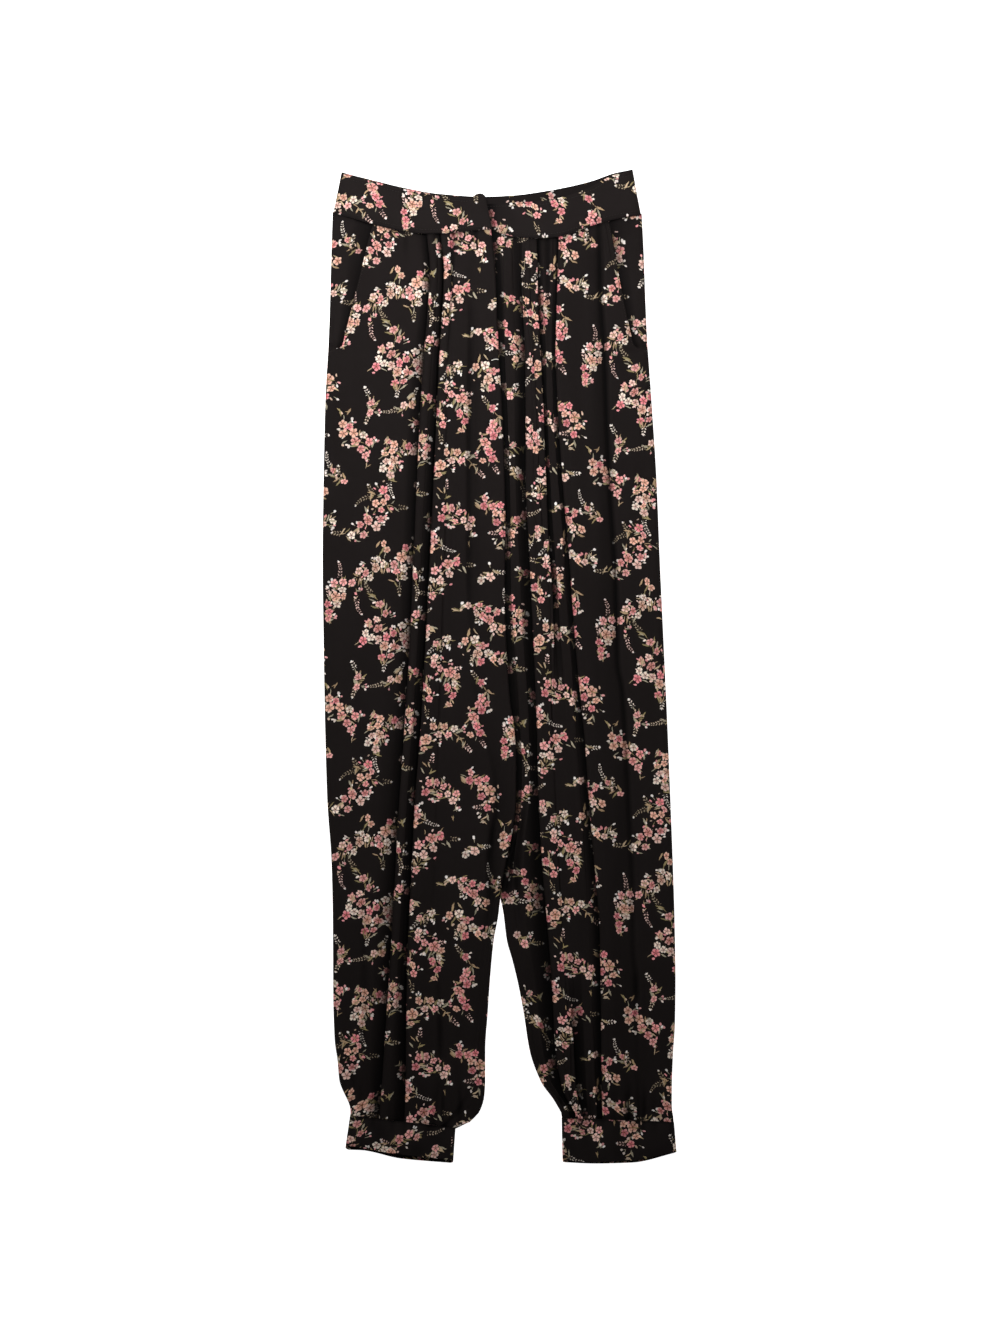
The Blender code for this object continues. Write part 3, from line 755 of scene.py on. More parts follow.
class Socket:
    """A node's output, with the operators that the finishes use."""

    __add__ = __radd__ = operator("ADD")
    __sub__ = operator("SUBTRACT")
    __rsub__ = operator("SUBTRACT", swapped=True)
    __mul__ = __rmul__ = operator("MULTIPLY")
    __truediv__ = operator("DIVIDE")
    __gt__ = operator("GREATER_THAN")
    __abs__ = operator("ABSOLUTE")

    def __init__(self, owner: "Nodes", value: bpy.types.NodeSocket) -> None:
        """Wraps one output."""
        self.owner, self.value = owner, value

    def math(self, operation: str, *others: "Socket | float") -> "Socket":
        """A Math node with this value first."""
        return operator(operation)(self, *others)

    def ramp(self, low: float, high: float) -> "Socket":
        """A smooth step from 0 at low to 1 at high."""
        return self.owner.node(
            "ShaderNodeMapRange", {"interpolation_type": "SMOOTHSTEP"}, self, low, high)


class Nodes:
    """A node tree, filled by one method from a type, settings and inputs."""

    def __init__(self, tree: bpy.types.NodeTree) -> None:
        """Starts with the tree as it is."""
        self.tree = tree

    def node(self, kind: str, settings: dict | None = None, *inputs: object,
             named: dict | None = None, output: str | int = 0) -> Socket:
        """Adds a node.

        Args:
            kind: Its type.
            settings: Its own properties, set first.
            inputs: Values or sockets for its first inputs.
            named: Values or sockets for inputs by name or number.
            output: Which output to return.

        Returns:
            The output, wrapped.
        """
        made = self.tree.nodes.new(kind)
        for key, value in (settings or {}).items():
            setattr(made, key, value)
        for key, value in [*enumerate(inputs), *(named or {}).items()]:
            self.feed(made.inputs[key], value)
        return Socket(self, made.outputs[output])

    def feed(self, target: bpy.types.NodeSocket, value: object) -> None:
        """Links a socket, or sets its own value.

        Args:
            target: The input.
            value: A wrapped output, or the input's own value.
        """
        if isinstance(value, Socket):
            self.tree.links.new(value.value, target)
        else:
            target.default_value = value


class Shader(Nodes):
    """A material's nodes."""

    def __init__(self, name: str) -> None:
        """Starts a material with a Principled shader.

        Args:
            name: Its name.
        """
        self.material = bpy.data.materials.new(name)
        self.material.use_nodes = True
        super().__init__(self.material.node_tree)
        self.surface = self.tree.nodes["Principled BSDF"]

    def parts(self, vector: Socket) -> list[Socket]:
        """The three parts of a vector."""
        first = self.node("ShaderNodeSeparateXYZ", {}, vector)
        return [Socket(self, part) for part in first.value.node.outputs]

    def attribute(self, name: str) -> list[Socket]:
        """A piece's attribute: as a colour, a number and its fourth part."""
        made = self.node("ShaderNodeAttribute", {"attribute_name": name}).value.node
        return [Socket(self, made.outputs[part]) for part in ("Color", "Fac", "Alpha")]

    def mix(self, factor: Socket | float, one: object, other: object) -> Socket:
        """A colour mix."""
        return self.node("ShaderNodeMix", {"data_type": "RGBA"},
                         named={0: factor, 6: one, 7: other}, output=2)

    def number(self, factor: Socket, one: object, other: object) -> Socket:
        """A mix of two numbers."""
        return self.node("ShaderNodeMix", {"data_type": "FLOAT"},
                         named={0: factor, 2: one, 3: other})

    def noise(self, where: Socket, scale: float, detail: float = 2.0,
              output: str = "Fac") -> Socket:
        """Plain noise from 0 to 1, as a number or a colour."""
        return self.node("ShaderNodeTexNoise", named={
            "Vector": where, "Scale": scale, "Detail": detail}, output=output)

    def bump(self, strength: float, deep: float, height: Socket) -> Socket:
        """A normal, bumped by a height of up to deep metres."""
        return self.node("ShaderNodeBump", named={
            "Strength": strength, "Distance": deep, "Height": height})

    def dress(self, **values: object) -> bpy.types.Material:
        """Sets or links the Principled shader's inputs, with _ for a space."""
        for key, value in values.items():
            self.feed(self.surface.inputs[key.replace("_", " ")], value)
        return self.material


@dataclass(frozen=True)
class PrintedCrepe:
    """Soft matte viscose crepe in warm near-black, printed with the sprigs."""

    ground: Colour = (0.0100, 0.0077, 0.0073, 1.0)
    faded: Colour = (0.0126, 0.0098, 0.0094, 1.0)
    folded: Colour = (0.0010, 0.0008, 0.0008, 1.0)  # painted shade, the colour deep in a fold
    stray: float = 0.0022  # m, how far the print's edges wander
    roughness: float = 0.72
    sheen: float = 0.004

    def material(self, name: str) -> bpy.types.Material:
        """Builds the material, which reads the cloth map, each small face's marks and the painted
        shade.

        Args:
            name: Its name.

        Returns:
            The material.
        """
        shader = Shader(name)
        cloth = shader.node("ShaderNodeUVMap", {"uv_map": "cloth"})
        u, v, _ = shader.parts(cloth)
        stray_u, stray_v, _ = shader.parts(shader.noise(cloth, 300.0, 1.0, "Color"))
        u, v = u + (stray_u - 0.5) * self.stray, v + (stray_v - 0.5) * self.stray
        colour = shader.mix(shader.noise(cloth, 18.0), self.ground, self.faded)
        worn = shader.noise(cloth, 1400.0, 1.0)
        for slot in reversed(range(SLOTS)):
            colour = self._mark(shader, slot, u, v, colour, worn)
        # Painted shade: the folds darken the cloth's colour towards the folded colour.
        _, shade, _ = shader.attribute("fold_shade")
        colour = shader.mix(shade * 0.95, colour, self.folded)
        weave, crinkle = shader.noise(cloth, 1700.0, 3.0), shader.noise(cloth, 260.0)
        bump = shader.bump(0.22, 0.0004, weave * 0.7 + crinkle * 0.6)
        rough = shader.noise(cloth, 60.0) * 0.12 + (self.roughness - 0.06)
        return shader.dress(
            Base_Color=colour, Roughness=rough, Normal=bump, Specular_IOR_Level=0.035,
            Sheen_Weight=self.sheen, Sheen_Roughness=0.6)

    def _mark(self, shader: Shader, slot: int, u: Socket, v: Socket, under: Socket,
              worn: Socket) -> Socket:
        """Paints one slot's marks over what lies under them.

        Args:
            shader: The material's nodes.
            slot: Which of a face's marks.
            u: Place across the cloth.
            v: Place down the cloth.
            under: The colour so far.
            worn: Fine noise that breaks up the ink.

        Returns:
            The new colour.
        """
        place, _, sine = shader.attribute(f"mark_place_{slot}")
        tone, _, code = shader.attribute(f"mark_tone_{slot}")
        centre_u, centre_v, cosine = shader.parts(place)
        shape = (code / KINDS).math("FLOOR")
        du, dv = u - centre_u, v - centre_v
        x = du * cosine + dv * sine
        y = (dv * cosine - du * sine) * (code - shape * KINDS)
        high, radius = abs(y), (x * x + y * y).math("SQRT")
        leaf, tassel = (shape.math("COMPARE", float(kind.value), 0.5)
                        for kind in (Shape.LEAF, Shape.TASSEL))
        bloom, rose = shape > Shape.TASSEL.value + 0.5, shape > Shape.BLOSSOM.value + 0.5
        turn = y.math("ARCTAN2", x)
        sector_half = math.pi / PETALS
        sector = turn.math("WRAP", sector_half, -sector_half)
        along, across = radius * sector.math("COSINE") - 0.56, radius * sector.math("SINE")
        uneven = (turn * 2.0 + centre_u * 3000.0).math("SINE") * 0.055 + 0.42
        petal = uneven - (along * along + across * across).math("SQRT")
        petal = petal.math("MAXIMUM", 0.3 - radius)
        rung = (x - high * 0.5).math("WRAP", 1 / 3, -1 / 3) * 6.2
        reach = (high - 0.48 + x * 0.12) * 3.2
        leaflet = (1 - (rung * rung + reach * reach).math("SQRT")) * 0.34
        twig = leaflet.math("MAXIMUM", 0.03 - high).math("MINIMUM", 1 - abs(x))
        body = shader.number(bloom, 1 - radius, petal)
        body = shader.number(leaf, body, (1 - x * x - high) * 0.7)
        body = shader.number(tassel, body, twig)
        mask = (body + (worn - 0.5) * 0.10).ramp(-0.02, 0.07)
        heart = radius.ramp(0.72, 0.15) * bloom
        tone = shader.mix(heart * 0.38, tone, HEART)
        tone = shader.mix(bloom * radius.ramp(0.55, 0.95) * 0.25, tone, PALE)
        swirl = (radius * 14.0 + (turn * 3.0).math("SINE") * 0.9).math("SINE").ramp(0.4, 1.0)
        gap = ((sector_half - abs(sector)) * radius).ramp(0.13, 0.03) * radius.ramp(0.12, 0.3)
        dark = bloom * gap * 0.8 + rose * swirl * 0.45 + leaf * high.ramp(0.22, 0.05) * 0.3
        tone = shader.mix(dark, tone, INK_DARK)
        tone = shader.mix(radius.ramp(0.19, 0.12) * bloom, tone, STAMENS)
        return shader.mix(mask * 0.97, under, tone)


@dataclass(frozen=True)
class SewingThread:
    """Twisted thread, with a slight lustre."""

    colour: Colour = (0.008, 0.006, 0.005, 1.0)
    lustre: Colour = (0.018, 0.014, 0.012, 1.0)

    def material(self, name: str) -> bpy.types.Material:
        """Builds the thread's material, with its twist as fine bands.

        Args:
            name: Its name.

        Returns:
            The material.
        """
        shader = Shader(name)
        where = shader.node("ShaderNodeTexCoord", output="Object")
        twist = shader.node("ShaderNodeTexWave", {"bands_direction": "DIAGONAL"}, named={
            "Vector": where, "Scale": 900.0, "Distortion": 1.5})
        fluff = shader.noise(where, 2500.0)
        return shader.dress(
            Base_Color=shader.mix(twist * 0.6 + fluff * 0.3, self.colour, self.lustre),
            Roughness=fluff * 0.2 + 0.5, Normal=shader.bump(0.4, 0.0002, twist * 0.7 + fluff * 0.3),
            Specular_IOR_Level=0.12)


# ---------------------------------------------------------------------------------------------
# Shells of cloth


def unit_steps(points: Array, axis: int, ring: bool) -> Array:
    """The direction of the grid lines at each point, from the steps before and after it.

    Args:
        points: Rows by columns by places.
        axis: 0 for the lines along columns and 1 for those along rows.
        ring: Whether the last column meets the first.

    Returns:
        Rows by columns by unit vectors.
    """

    def part(grid: Array, start: int | None, stop: int | None) -> Array:
        """A stretch of a grid along the axis."""
        return grid[:, start:stop] if axis else grid[start:stop]

    steps = np.diff(points, axis=axis)
    if ring:
        ends = (part(points, None, 1) - part(points, -1, None),) * 2
    else:
        ends = part(steps, None, 1), part(steps, -1, None)
    steps = np.concatenate([ends[0], steps, ends[1]], axis=axis)
    steps /= np.linalg.norm(steps, axis=2, keepdims=True).clip(1e-9)
    total = part(steps, None, -1) + part(steps, 1, None)
    return total / np.linalg.norm(total, axis=2, keepdims=True).clip(1e-9)


def quads(grid: Array) -> Array:
    """The four corners of every face of a grid."""
    corners = [grid[:-1, :-1], grid[1:, :-1], grid[1:, 1:], grid[:-1, 1:]]
    return np.stack(corners, axis=2).reshape(-1, 4, *grid.shape[2:])


def linked(name: str, data: bpy.types.ID) -> bpy.types.Object:
    """A new object in the scene."""
    made = bpy.data.objects.new(name, data)
    bpy.context.collection.objects.link(made)
    return made


@dataclass
class Shell:
    """A thin closed shell of cloth round a grid of points.

    points and cloth are rows by columns by places in millimetres, as (x, down, height) and as
    (u, v) on the flat cloth. A ring has one more column of cloth than of points. outside is 1
    where the right side of the cloth faces up and -1 where it faces down.
    """

    points: Array
    cloth: Array
    # painted shade of each point, from 0 to 1
    shade: Array
    wall: float = CLOTH
    ring: bool = False
    outside: int = 1
    through: float = 0.3  # how much of the print shows on the wrong side

    def placed(self) -> Array:
        """The mid surface in metres, in the frame."""
        x, down, z = np.moveaxis(self.points, -1, 0)
        return np.stack([x * MM, (LENGTH / 2 - down) * MM, z * MM], axis=-1)

    def sides(self) -> tuple[Array, Array]:
        """Lays the two surfaces half a wall from the middle one.

        Returns:
            The upper and the lower one, as rows by columns by places in metres.
        """
        mid = self.placed()
        over, down = unit_steps(mid, 1, self.ring), unit_steps(mid, 0, False)
        normal = np.cross(down, over)
        for row in (0, -1):
            normal[row, :, 1] = 0.0
        normal /= np.linalg.norm(normal, axis=2, keepdims=True).clip(1e-9)
        upper, lower = (mid + normal * (side * self.wall * MM / 2) for side in (1, -1))
        for surface in (upper, lower):
            surface[..., 2] = surface[..., 2].clip(0.0)
        return upper, lower

    def seam_line(self, rows: slice | int, columns: slice | int) -> Array:
        """A guide line for stitches, a little above the upper surface, in metres."""
        line = self.sides()[0][rows, columns].copy()
        line[:, 2] += SEWN_ABOVE * MM
        return line

    def area(self) -> float:
        """The area of the mid surface in square metres."""
        a, b, c, d = np.moveaxis(quads(self.ringed(self.placed())), 1, 0)
        return float(sum(np.linalg.norm(np.cross(p - q, r - q), axis=1).sum() / 2
                         for p, q, r in ((d, a, b), (b, c, d))))

    def ringed(self, grid: Array) -> Array:
        """A grid, with its first column again at the end where the shell is a ring."""
        return np.concatenate([grid, grid[:, :1]], axis=1) if self.ring else grid

    def build(self, name: str, prints: PrintedCloth, offset: Pair,
              material: bpy.types.Material) -> bpy.types.Object:
        """Makes the piece.

        Args:
            name: Its name.
            prints: The printed cloth that it is cut from.
            offset: Where on that cloth, in millimetres.
            material: Its material.

        Returns:
            The object.
        """
        rows, columns = self.points.shape[:2]
        total = rows * columns
        ids = self.ringed(np.arange(total).reshape(rows, columns))
        cloth = self.cloth + np.array(offset)
        top, corners = quads(ids), quads(cloth)
        faces, maps = [top, top[:, [0, 3, 2, 1]] + total], [corners, corners[:, [0, 3, 2, 1]]]
        rims = [(ids[0], cloth[0], 1), (ids[-1], cloth[-1], -1)]
        if not self.ring:
            rims += [(ids[:, 0], cloth[:, 0], -1), (ids[:, -1], cloth[:, -1], 1)]
        for line, spots, way in rims:
            a, b, start, end = line[:-1], line[1:], spots[:-1], spots[1:]
            faces.append(np.stack([a, b, b + total, a + total], axis=1)[:, ::way])
            maps.append(np.stack([start, end, end, start], axis=1)[:, ::way])

        mesh = bpy.data.meshes.new(name)
        mesh.from_pydata(np.concatenate(self.sides()).reshape(-1, 3).tolist(), [],
                         np.vstack(faces).tolist())
        layer = mesh.uv_layers.new(name="cloth")
        layer.data.foreach_set("uv", (np.concatenate(maps) * MM).astype(np.float32).ravel())
        # The painted shade of the folds, which the material reads.
        shade = mesh.attributes.new("fold_shade", "FLOAT", "POINT")
        shade.data.foreach_set("value", np.tile(self.shade.ravel(), 2).astype(np.float32))
        self._printed(mesh, prints, corners, len(mesh.polygons) - 2 * len(corners))
        mesh.shade_smooth()
        mesh.set_sharp_from_angle(angle=math.radians(60))
        mesh.materials.append(material)
        return linked(name, mesh)

    def _printed(self, mesh: bpy.types.Mesh, prints: PrintedCloth, corners: Array,
                 bare: int) -> None:
        """Gives every face its marks: bright on the right side and faint on the wrong one.

        Args:
            mesh: The piece's mesh.
            prints: The printed cloth.
            corners: The corners of the upper faces on that cloth.
            bare: How many faces at the rims stay without marks.
        """
        place, tone = prints.slots(corners, mesh.name)
        faint = tone * (self.through, self.through, self.through, 1.0)
        far, plain = np.tile((NOWHERE, NOWHERE, 1 / MM, 0.0), (bare, 1)), np.full((bare, 4), 1.2)
        bright, dim = (tone, faint) if self.outside > 0 else (faint, tone)
        for slot in range(SLOTS):
            for word, values in (("place", (place[slot], place[slot], far)),
                                 ("tone", (bright[slot], dim[slot], plain))):
                layer = mesh.attributes.new(f"mark_{word}_{slot}", "FLOAT_COLOR", "FACE")
                layer.data.foreach_set("color", np.vstack(values).astype(np.float32).ravel())


def arc_lengths(x: Array, z: Array, anchor: int) -> Array:
    """How far along the cloth each column lies from the anchor column.

    Args:
        x: Sections by columns.
        z: Their heights.
        anchor: The column that stays at 0.

    Returns:
        Sections by columns by lengths, below 0 before the anchor.
    """
    steps = np.hypot(np.diff(x, axis=1), np.diff(z, axis=1))
    total = np.concatenate([np.zeros((len(x), 1)), np.cumsum(steps, axis=1)], axis=1)
    return total - total[:, anchor:anchor + 1]


# ---------------------------------------------------------------------------------------------
# The trousers


@dataclass(frozen=True)
class Wrinkle:
    """A short soft ridge (high above 0) or trough between two places, given as (x, down), with
    painted shade in a trough.
    """

    start: Pair
    end: Pair
    high: float
    width: float = 4.0
    dark: float = 0.0  # how much painted shade it lays on the cloth

    def apply(self, x: Array, down: Array) -> tuple[Array, Array]:
        """Shapes the wrinkle.

        Args:
            x: Places across.
            down: Places down.

        Returns:
            How much it lifts each place and how much painted shade it lays there.
        """
        (x0, d0), (x1, d1) = self.start, self.end
        run = math.hypot(x1 - x0, d1 - d0)
        ux, ud = (x1 - x0) / run, (d1 - d0) / run
        along = (x - x0) * ux + (down - d0) * ud
        away = (x - x0) * ud - (down - d0) * ux
        near = np.exp(-(away / self.width) ** 2)
        ends = smooth(-self.width, run * 0.25, along)
        ends = ends * (1 - smooth(run * 0.75, run + self.width, along))
        return self.high * near * ends, self.dark * near * ends


@dataclass
class Leg:
    """The edges, seams and folds of one leg."""

    side: Side
    outer: Track
    inseam: Track
    mouth: Track
    seam: Track
    cuff: Track
    folds: tuple[Pleat | Crease, ...]
    wrinkles: tuple[Wrinkle, ...] = ()

    def level(self, down: Array, x: Array, seam: Track) -> Array:
        """Where a section really runs: near the waistband and cuff it follows their seams.

        Args:
            down: The sections.
            x: Places across.
            seam: The waistband's seam.

        Returns:
            How far down each place lies.
        """
        at_waist = 1 - smooth(WAIST_ROW, WAIST_FADE, down)
        at_cuff = smooth(CUFF_FADE, CUFF_ROW, down)
        return (down + at_waist * (seam.at(x) + 0.4 - WAIST_ROW)
                + at_cuff * (self.cuff.at(x) - 0.4 - CUFF_ROW))

    def inner(self, down: Array) -> Array:
        """The centre seam, and below the crotch the inseam."""
        return np.where(down <= CROTCH, CENTRE.at(down), self.inseam.at(down))

    def ordered(self, outer: list, inner: list) -> tuple[list, list]:
        """A panel's -X edge and its +X edge, from its outer and inner ones."""
        return (outer, inner[::-1]) if self.side is Side.RIGHT else (inner, outer[::-1])


RIGHT_LEG = Leg(
    Side.RIGHT,
    outer=Track(
        (47.5, -180), (98.5, -182), (184.5, -185), (249.5, -188.5), (336, -190.5), (422.5, -191.5),
        (508.5, -190.5), (595, -189), (681.5, -186.5), (746.5, -182), (811, -180.5), (897.5, -180),
        (940.5, -178.5), (962.5, -175.5), (984, -173.5), (997, -169.5), (1013, -164),
        (1023, -161.5)),
    inseam=Track(
        (789.5, 0.9), (805.5, -0.8), (832.5, -5.8), (870.5, -9.5), (913.5, -12.5), (951.5, -15),
        (984, -15), (1000, -16), (1014, -20.5), (1021.5, -27.5), (1028, -36), (1031, -47.5)),
    mouth=Track(
        (61.5, -135.5), (82, -141), (107, -147.5), (130.5, -154), (154.5, -160.5), (179.5, -167),
        (MOUTH_CORNER, -170), (MOUTH_END, -186)),
    seam=Track((-180, 47.5), (-167, 51), (-134.5, 60.5), (-107.5, 66.5), (-80.5, 70), (-58, 69.5),
               (-32, 67), (-8, 65)),
    cuff=Track((-161.5, 1022), (-47.5, 1035.5)),
    folds=(
        Pleat(1, Track(
            (66, -79.5, 1), (107, -76, 1), (154.5, -78.5, 1), (206.5, -83, 1), (282, -87.5, 1),
            (400.5, -93, 1), (508.5, -97.5, 1), (595, -103, 1), (687, -109.5, 1), (786, -115, 1),
            (870.5, -120, 1), (951.5, -125.5, 1), (997, -128.5, 0.8), (1029, -131, 0.55)), 5.0),
        Pleat(1, Track(
            (66, -64.5, 1), (107, -61, 1), (206.5, -66, 1), (336, -72, 1), (465.5, -78.5, 1),
            (595, -85.5, 1), (687, -92.5, 1), (748.5, -95.5, 1), (870.5, -101, 1),
            (997, -102.5, 0.9), (1031, -104, 0.55)), 5.5),
        Crease(1.7, 0.0, Track(
            (66, -49, 1), (130.5, -51, 0.9), (179.5, -53.5, 0.3), (206.5, -53.5, 0),
            (336, -53.5, 0), (465.5, -56.5, 0), (595, -61, 0), (719.5, -64.5, 0),
            (854.5, -67.5, 0.2), (930, -64.5, 0.7), (967.5, -64.5, 0.3), (1031, -72, 0.6))),
        Crease(1.4, 1.2, Track(
            (66, -28.5, 0), (130.5, -31, 0.2), (174, -31, 0.7), (249.5, -32.5, 0.9),
            (433, -33, 0.9), (508.5, -29.5, 0.3), (595, -20, 0.2), (649, -6, 0.5), (687, -3, 1),
            (719.5, -8, 1), (748.5, -11.5, 1), (786, -11, 0.9), (822, -14.5, 0.3), (870.5, -20, 0),
            (951.5, -27.5, 0.1), (997, -34, 0.3), (1031, -59, 0.6)), 5.0, 0.7)),
    wrinkles=(
        Wrinkle((-147.9, 925), (-147.9, 956), -0.9, 2.5, 0.55),
        Wrinkle((-159, 958), (-157, 1016), -1.1, 2.6, 0.6),
        Wrinkle((-163.5, 962), (-161, 1010), 1.2, 4.0),
        Wrinkle((-146.3, 792), (-146.3, 935), -0.7, 4.0, 0.35),
        Wrinkle((-63.2, 912), (-63.2, 962), -0.6, 3.0, 0.3),
        Wrinkle((-60.5, 100), (-59.5, 116), -0.6, 2.4, 0.75),
        Wrinkle((-24, 204), (-8, 206), -0.5, 2.0, 0.3),
        Wrinkle((-9, 700), (-5, 792), -0.8, 4.0, 0.6),
        Wrinkle((-40, 700), (-8, 770), 0.7, 7.0),
        Wrinkle((-110, 1000), (-112, 1026), 0.9, 4.0),
        Wrinkle((-90, 996), (-88, 1030), 0.8, 4.0),
        Wrinkle((-80, 1004), (-79, 1031), -0.7, 2.5, 0.4)))

LEFT_LEG = Leg(
    Side.LEFT,
    outer=Track(
        (49.5, 153), (98.5, 156), (184.5, 160), (249.5, 164.5), (336, 170), (422.5, 173.5),
        (508.5, 177.5), (595, 181.5), (681.5, 185), (746.5, 187.5), (811, 189.5), (876, 190.5),
        (919, 190), (962.5, 187.5), (997, 186.5), (1013, 186.5), (1028, 188.5)),
    inseam=Track(
        (789.5, 1.1), (805.5, 4.0), (832.5, 7.4), (854.5, 13.5), (881.5, 20), (913.5, 26),
        (951.5, 32), (984, 43.5), (1005.5, 56.5), (1027, 67)),
    mouth=Track(
        (61.5, 117), (82, 121.5), (107, 126), (130.5, 131), (154.5, 136.5), (179.5, 142),
        (MOUTH_CORNER, 145.5), (MOUTH_END, 162)),
    seam=Track((-23, 62.5), (-9, 64.6), (-3, 68), (18, 73.5), (40.5, 75), (62, 73.5), (87, 66),
               (108.5, 58.5), (130, 53.5), (153, 49.5)),
    cuff=Track((67, 1025), (120.5, 1026.5), (188.5, 1029.5)),
    folds=(
        Crease(1.2, -1.6, Track(
            (66, 8, 0), (465.5, 18, 0), (595, 26.5, 0), (654.5, 28.5, 0), (687, 27.5, 0.5),
            (719.5, 23, 1), (748.5, 20.5, 1), (773.5, 19, 1), (789.5, 20, 0.6), (822, 24, 0.15),
            (870.5, 32, 0), (951.5, 42, 0.2), (985, 52, 0.2), (997, 59, 0.2), (1006, 64, 0.2),
            (1020, 70.8, 0.2), (1031, 73.9, 0.2)), 5.0, 0.6),
        Pleat(1, Track(
            (68, 21, 0.3), (107, 21.5, 0.35), (154.5, 24.5, 0.6), (206.5, 27, 1), (336, 27.5, 1),
            (409.5, 31, 1), (519.5, 36, 1), (591, 39, 1), (687, 41.5, 1), (748.5, 45, 1),
            (822, 51, 1), (870.5, 55, 1), (951.5, 59.5, 1), (997, 68, 0.8), (1027, 81, 0.5)), 8.5),
        Pleat(-1, Track(
            (68, 41.5, 1), (141.5, 42.5, 1), (195.5, 45, 1), (249.5, 48, 1), (342.5, 51.5, 0.9),
            (409.5, 54.5, 0.75), (465.5, 59, 0.5), (530.5, 62, 0.25), (595, 65.5, 0),
            (681.5, 69.5, 0), (768, 74, 0), (832.5, 77, 0), (908.5, 80, 0.3), (962.5, 82, 0.6),
            (997, 84, 0.7), (1028, 91.5, 0.5)), 7.0),
        Crease(1.7, 0.0, Track(
            (68, 52.5, 1), (109, 52.5, 1), (146, 52.5, 0.7), (179.5, 53, 0.2), (249.5, 54.5, 0),
            (342.5, 59.5, 0), (465.5, 68.5, 0), (595, 77, 0), (768, 88, 0), (897.5, 94.5, 0),
            (1028, 100.5, 0.3))),
        Pleat(1, Track(
            (68, 63, 1), (141.5, 61, 0.8), (195.5, 59.5, 0.9), (249.5, 61.5, 1), (342.5, 67.5, 1),
            (409.5, 73.5, 1), (519.5, 81.5, 1), (618, 91, 1), (687, 96, 1), (748.5, 101, 1),
            (822, 107, 1), (897.5, 108.5, 1), (962.5, 109, 1), (1028, 110, 0.6)), 3.5),
        Crease(1.6, -1.0, Track(
            (60.5, 107.5, 0.35), (100, 108.5, 0.8), (141.5, 109.5, 1), (195.5, 113, 1),
            (289.5, 116.5, 1), (357.5, 120, 1), (449.5, 125.5, 1), (535.5, 127.5, 0.8),
            (564, 132.5, 0.8), (649, 137.5, 0.7), (700, 140, 0.7), (768, 143, 0.6),
            (843.5, 144, 0.5), (881.5, 147.5, 0.6), (919, 147.5, 0.4), (962.5, 148.5, 0.2),
            (1029, 150.5, 0.6)), 9.0, 1.15)),
    wrinkles=(
        Wrinkle((15, 722), (18, 782), -0.8, 4.0, 0.6),
        Wrinkle((78.3, 985), (80.5, 1022), -0.9, 2.6, 0.6),
        Wrinkle((146.3, 870), (146.3, 895), -0.6, 4.0, 0.3),
        Wrinkle((128, 1000), (129, 1026), 0.8, 4.5),
        Wrinkle((120, 996), (121, 1028), -0.7, 2.6, 0.4),
        Wrinkle((168, 1002), (167, 1028), -0.6, 3.0, 0.35),
        Wrinkle((40, 800), (30, 870), 0.7, 7.0)))


def swell(x: Array, down: Array) -> Array:
    """Long slow swells of the cloth, the same in every run.

    Args:
        x: Places across.
        down: Places down.

    Returns:
        How far each place is lifted.
    """
    total = np.zeros_like(x)
    for across, along, phase, high in (
            (41.0, 620.0, 0.4, 0.42), (29.0, -410.0, 2.1, 0.3), (63.0, 260.0, 4.4, 0.4),
            (18.0, 350.0, 1.2, 0.14), (85.0, -170.0, 3.3, 0.3)):
        total += high * np.sin(math.tau * (x / across + down / along) + phase)
    return total


@dataclass
class Panel:
    """A front, back or hip piece, cut for one leg."""

    leg: Leg
    step: float = CELL
    rest: float = REST

    def stations(self, last: float = CUFF_ROW) -> Array:
        """The sections, closer together at the corners of the pocket mouths.

        Args:
            last: The lowest one.

        Returns:
            How far down each one lies.
        """
        even = np.arange(WAIST_ROW, last - 2.0, self.step)
        keen = np.array([MOUTH_CORNER, 193.0, 195.0, 197.0, MOUTH_END, last])
        clear = np.abs(even[:, None] - keen[None, :]).min(axis=1) > 0.9
        rows = np.sort(np.concatenate([even[clear], keen]))
        return rows[rows <= last]

    def laid(self, down: Array, columns: Array, seam: Track) -> tuple[Array, Array, Array]:
        """Places sections on the trousers and adds swells, gathers, wrinkles and painted shade.

        Args:
            down: The sections.
            columns: Sections by columns by values.
            seam: The waistband's seam that they follow at the top.

        Returns:
            Points, places on the cloth and shade, for a Shell.
        """
        x, z, shade, sway = (columns[..., i] for i in range(4))
        level = self.leg.level(down[:, None], x, seam)
        ends = smooth(WAIST_ROW, 110, down)[:, None] * (1 - smooth(1000, CUFF_ROW, down))[:, None]
        z = z + swell(x, level) * sway * ends
        cuff = smooth(CUFF_ROW - 55, CUFF_ROW - 6, down)[:, None]
        waist = (1 - smooth(WAIST_ROW + 4, WAIST_ROW + 36, down))[:, None]
        ripple = np.sin(x / 1.9 + 2 * np.sin(x / 9)) * 0.34 + np.sin(x / 2.9 + 1.0) * 0.26
        z = z + ripple * (cuff + 0.6 * waist) * sway
        # Painted shade in the troughs of the gathers.
        shade = shade + (-ripple).clip(0) * (1.7 * cuff + 0.9 * waist) * sway
        for wrinkle in self.leg.wrinkles:
            lift, dark = wrinkle.apply(x, level)
            z, shade = z + lift * sway.clip(0.3), shade + dark * sway.clip(0.3)
        # Painted shade just below the waistband's seam and just above the cuff's seam.
        top = 1 - smooth(0.0, 5.0, down - WAIST_ROW)
        foot = 1 - smooth(0.0, 5.0, CUFF_ROW - down)
        shade = (shade + (0.5 * top + 0.2 * foot)[:, None]).clip(0.0, 1.0)
        anchor = int(np.argmin(np.abs(x[len(x) // 2] - x[len(x) // 2].mean())))
        cloth = np.stack([arc_lengths(x, z, anchor) + x.mean(), level], axis=-1)
        return np.stack([x, level, z.clip(LOWEST)], axis=-1), cloth, shade


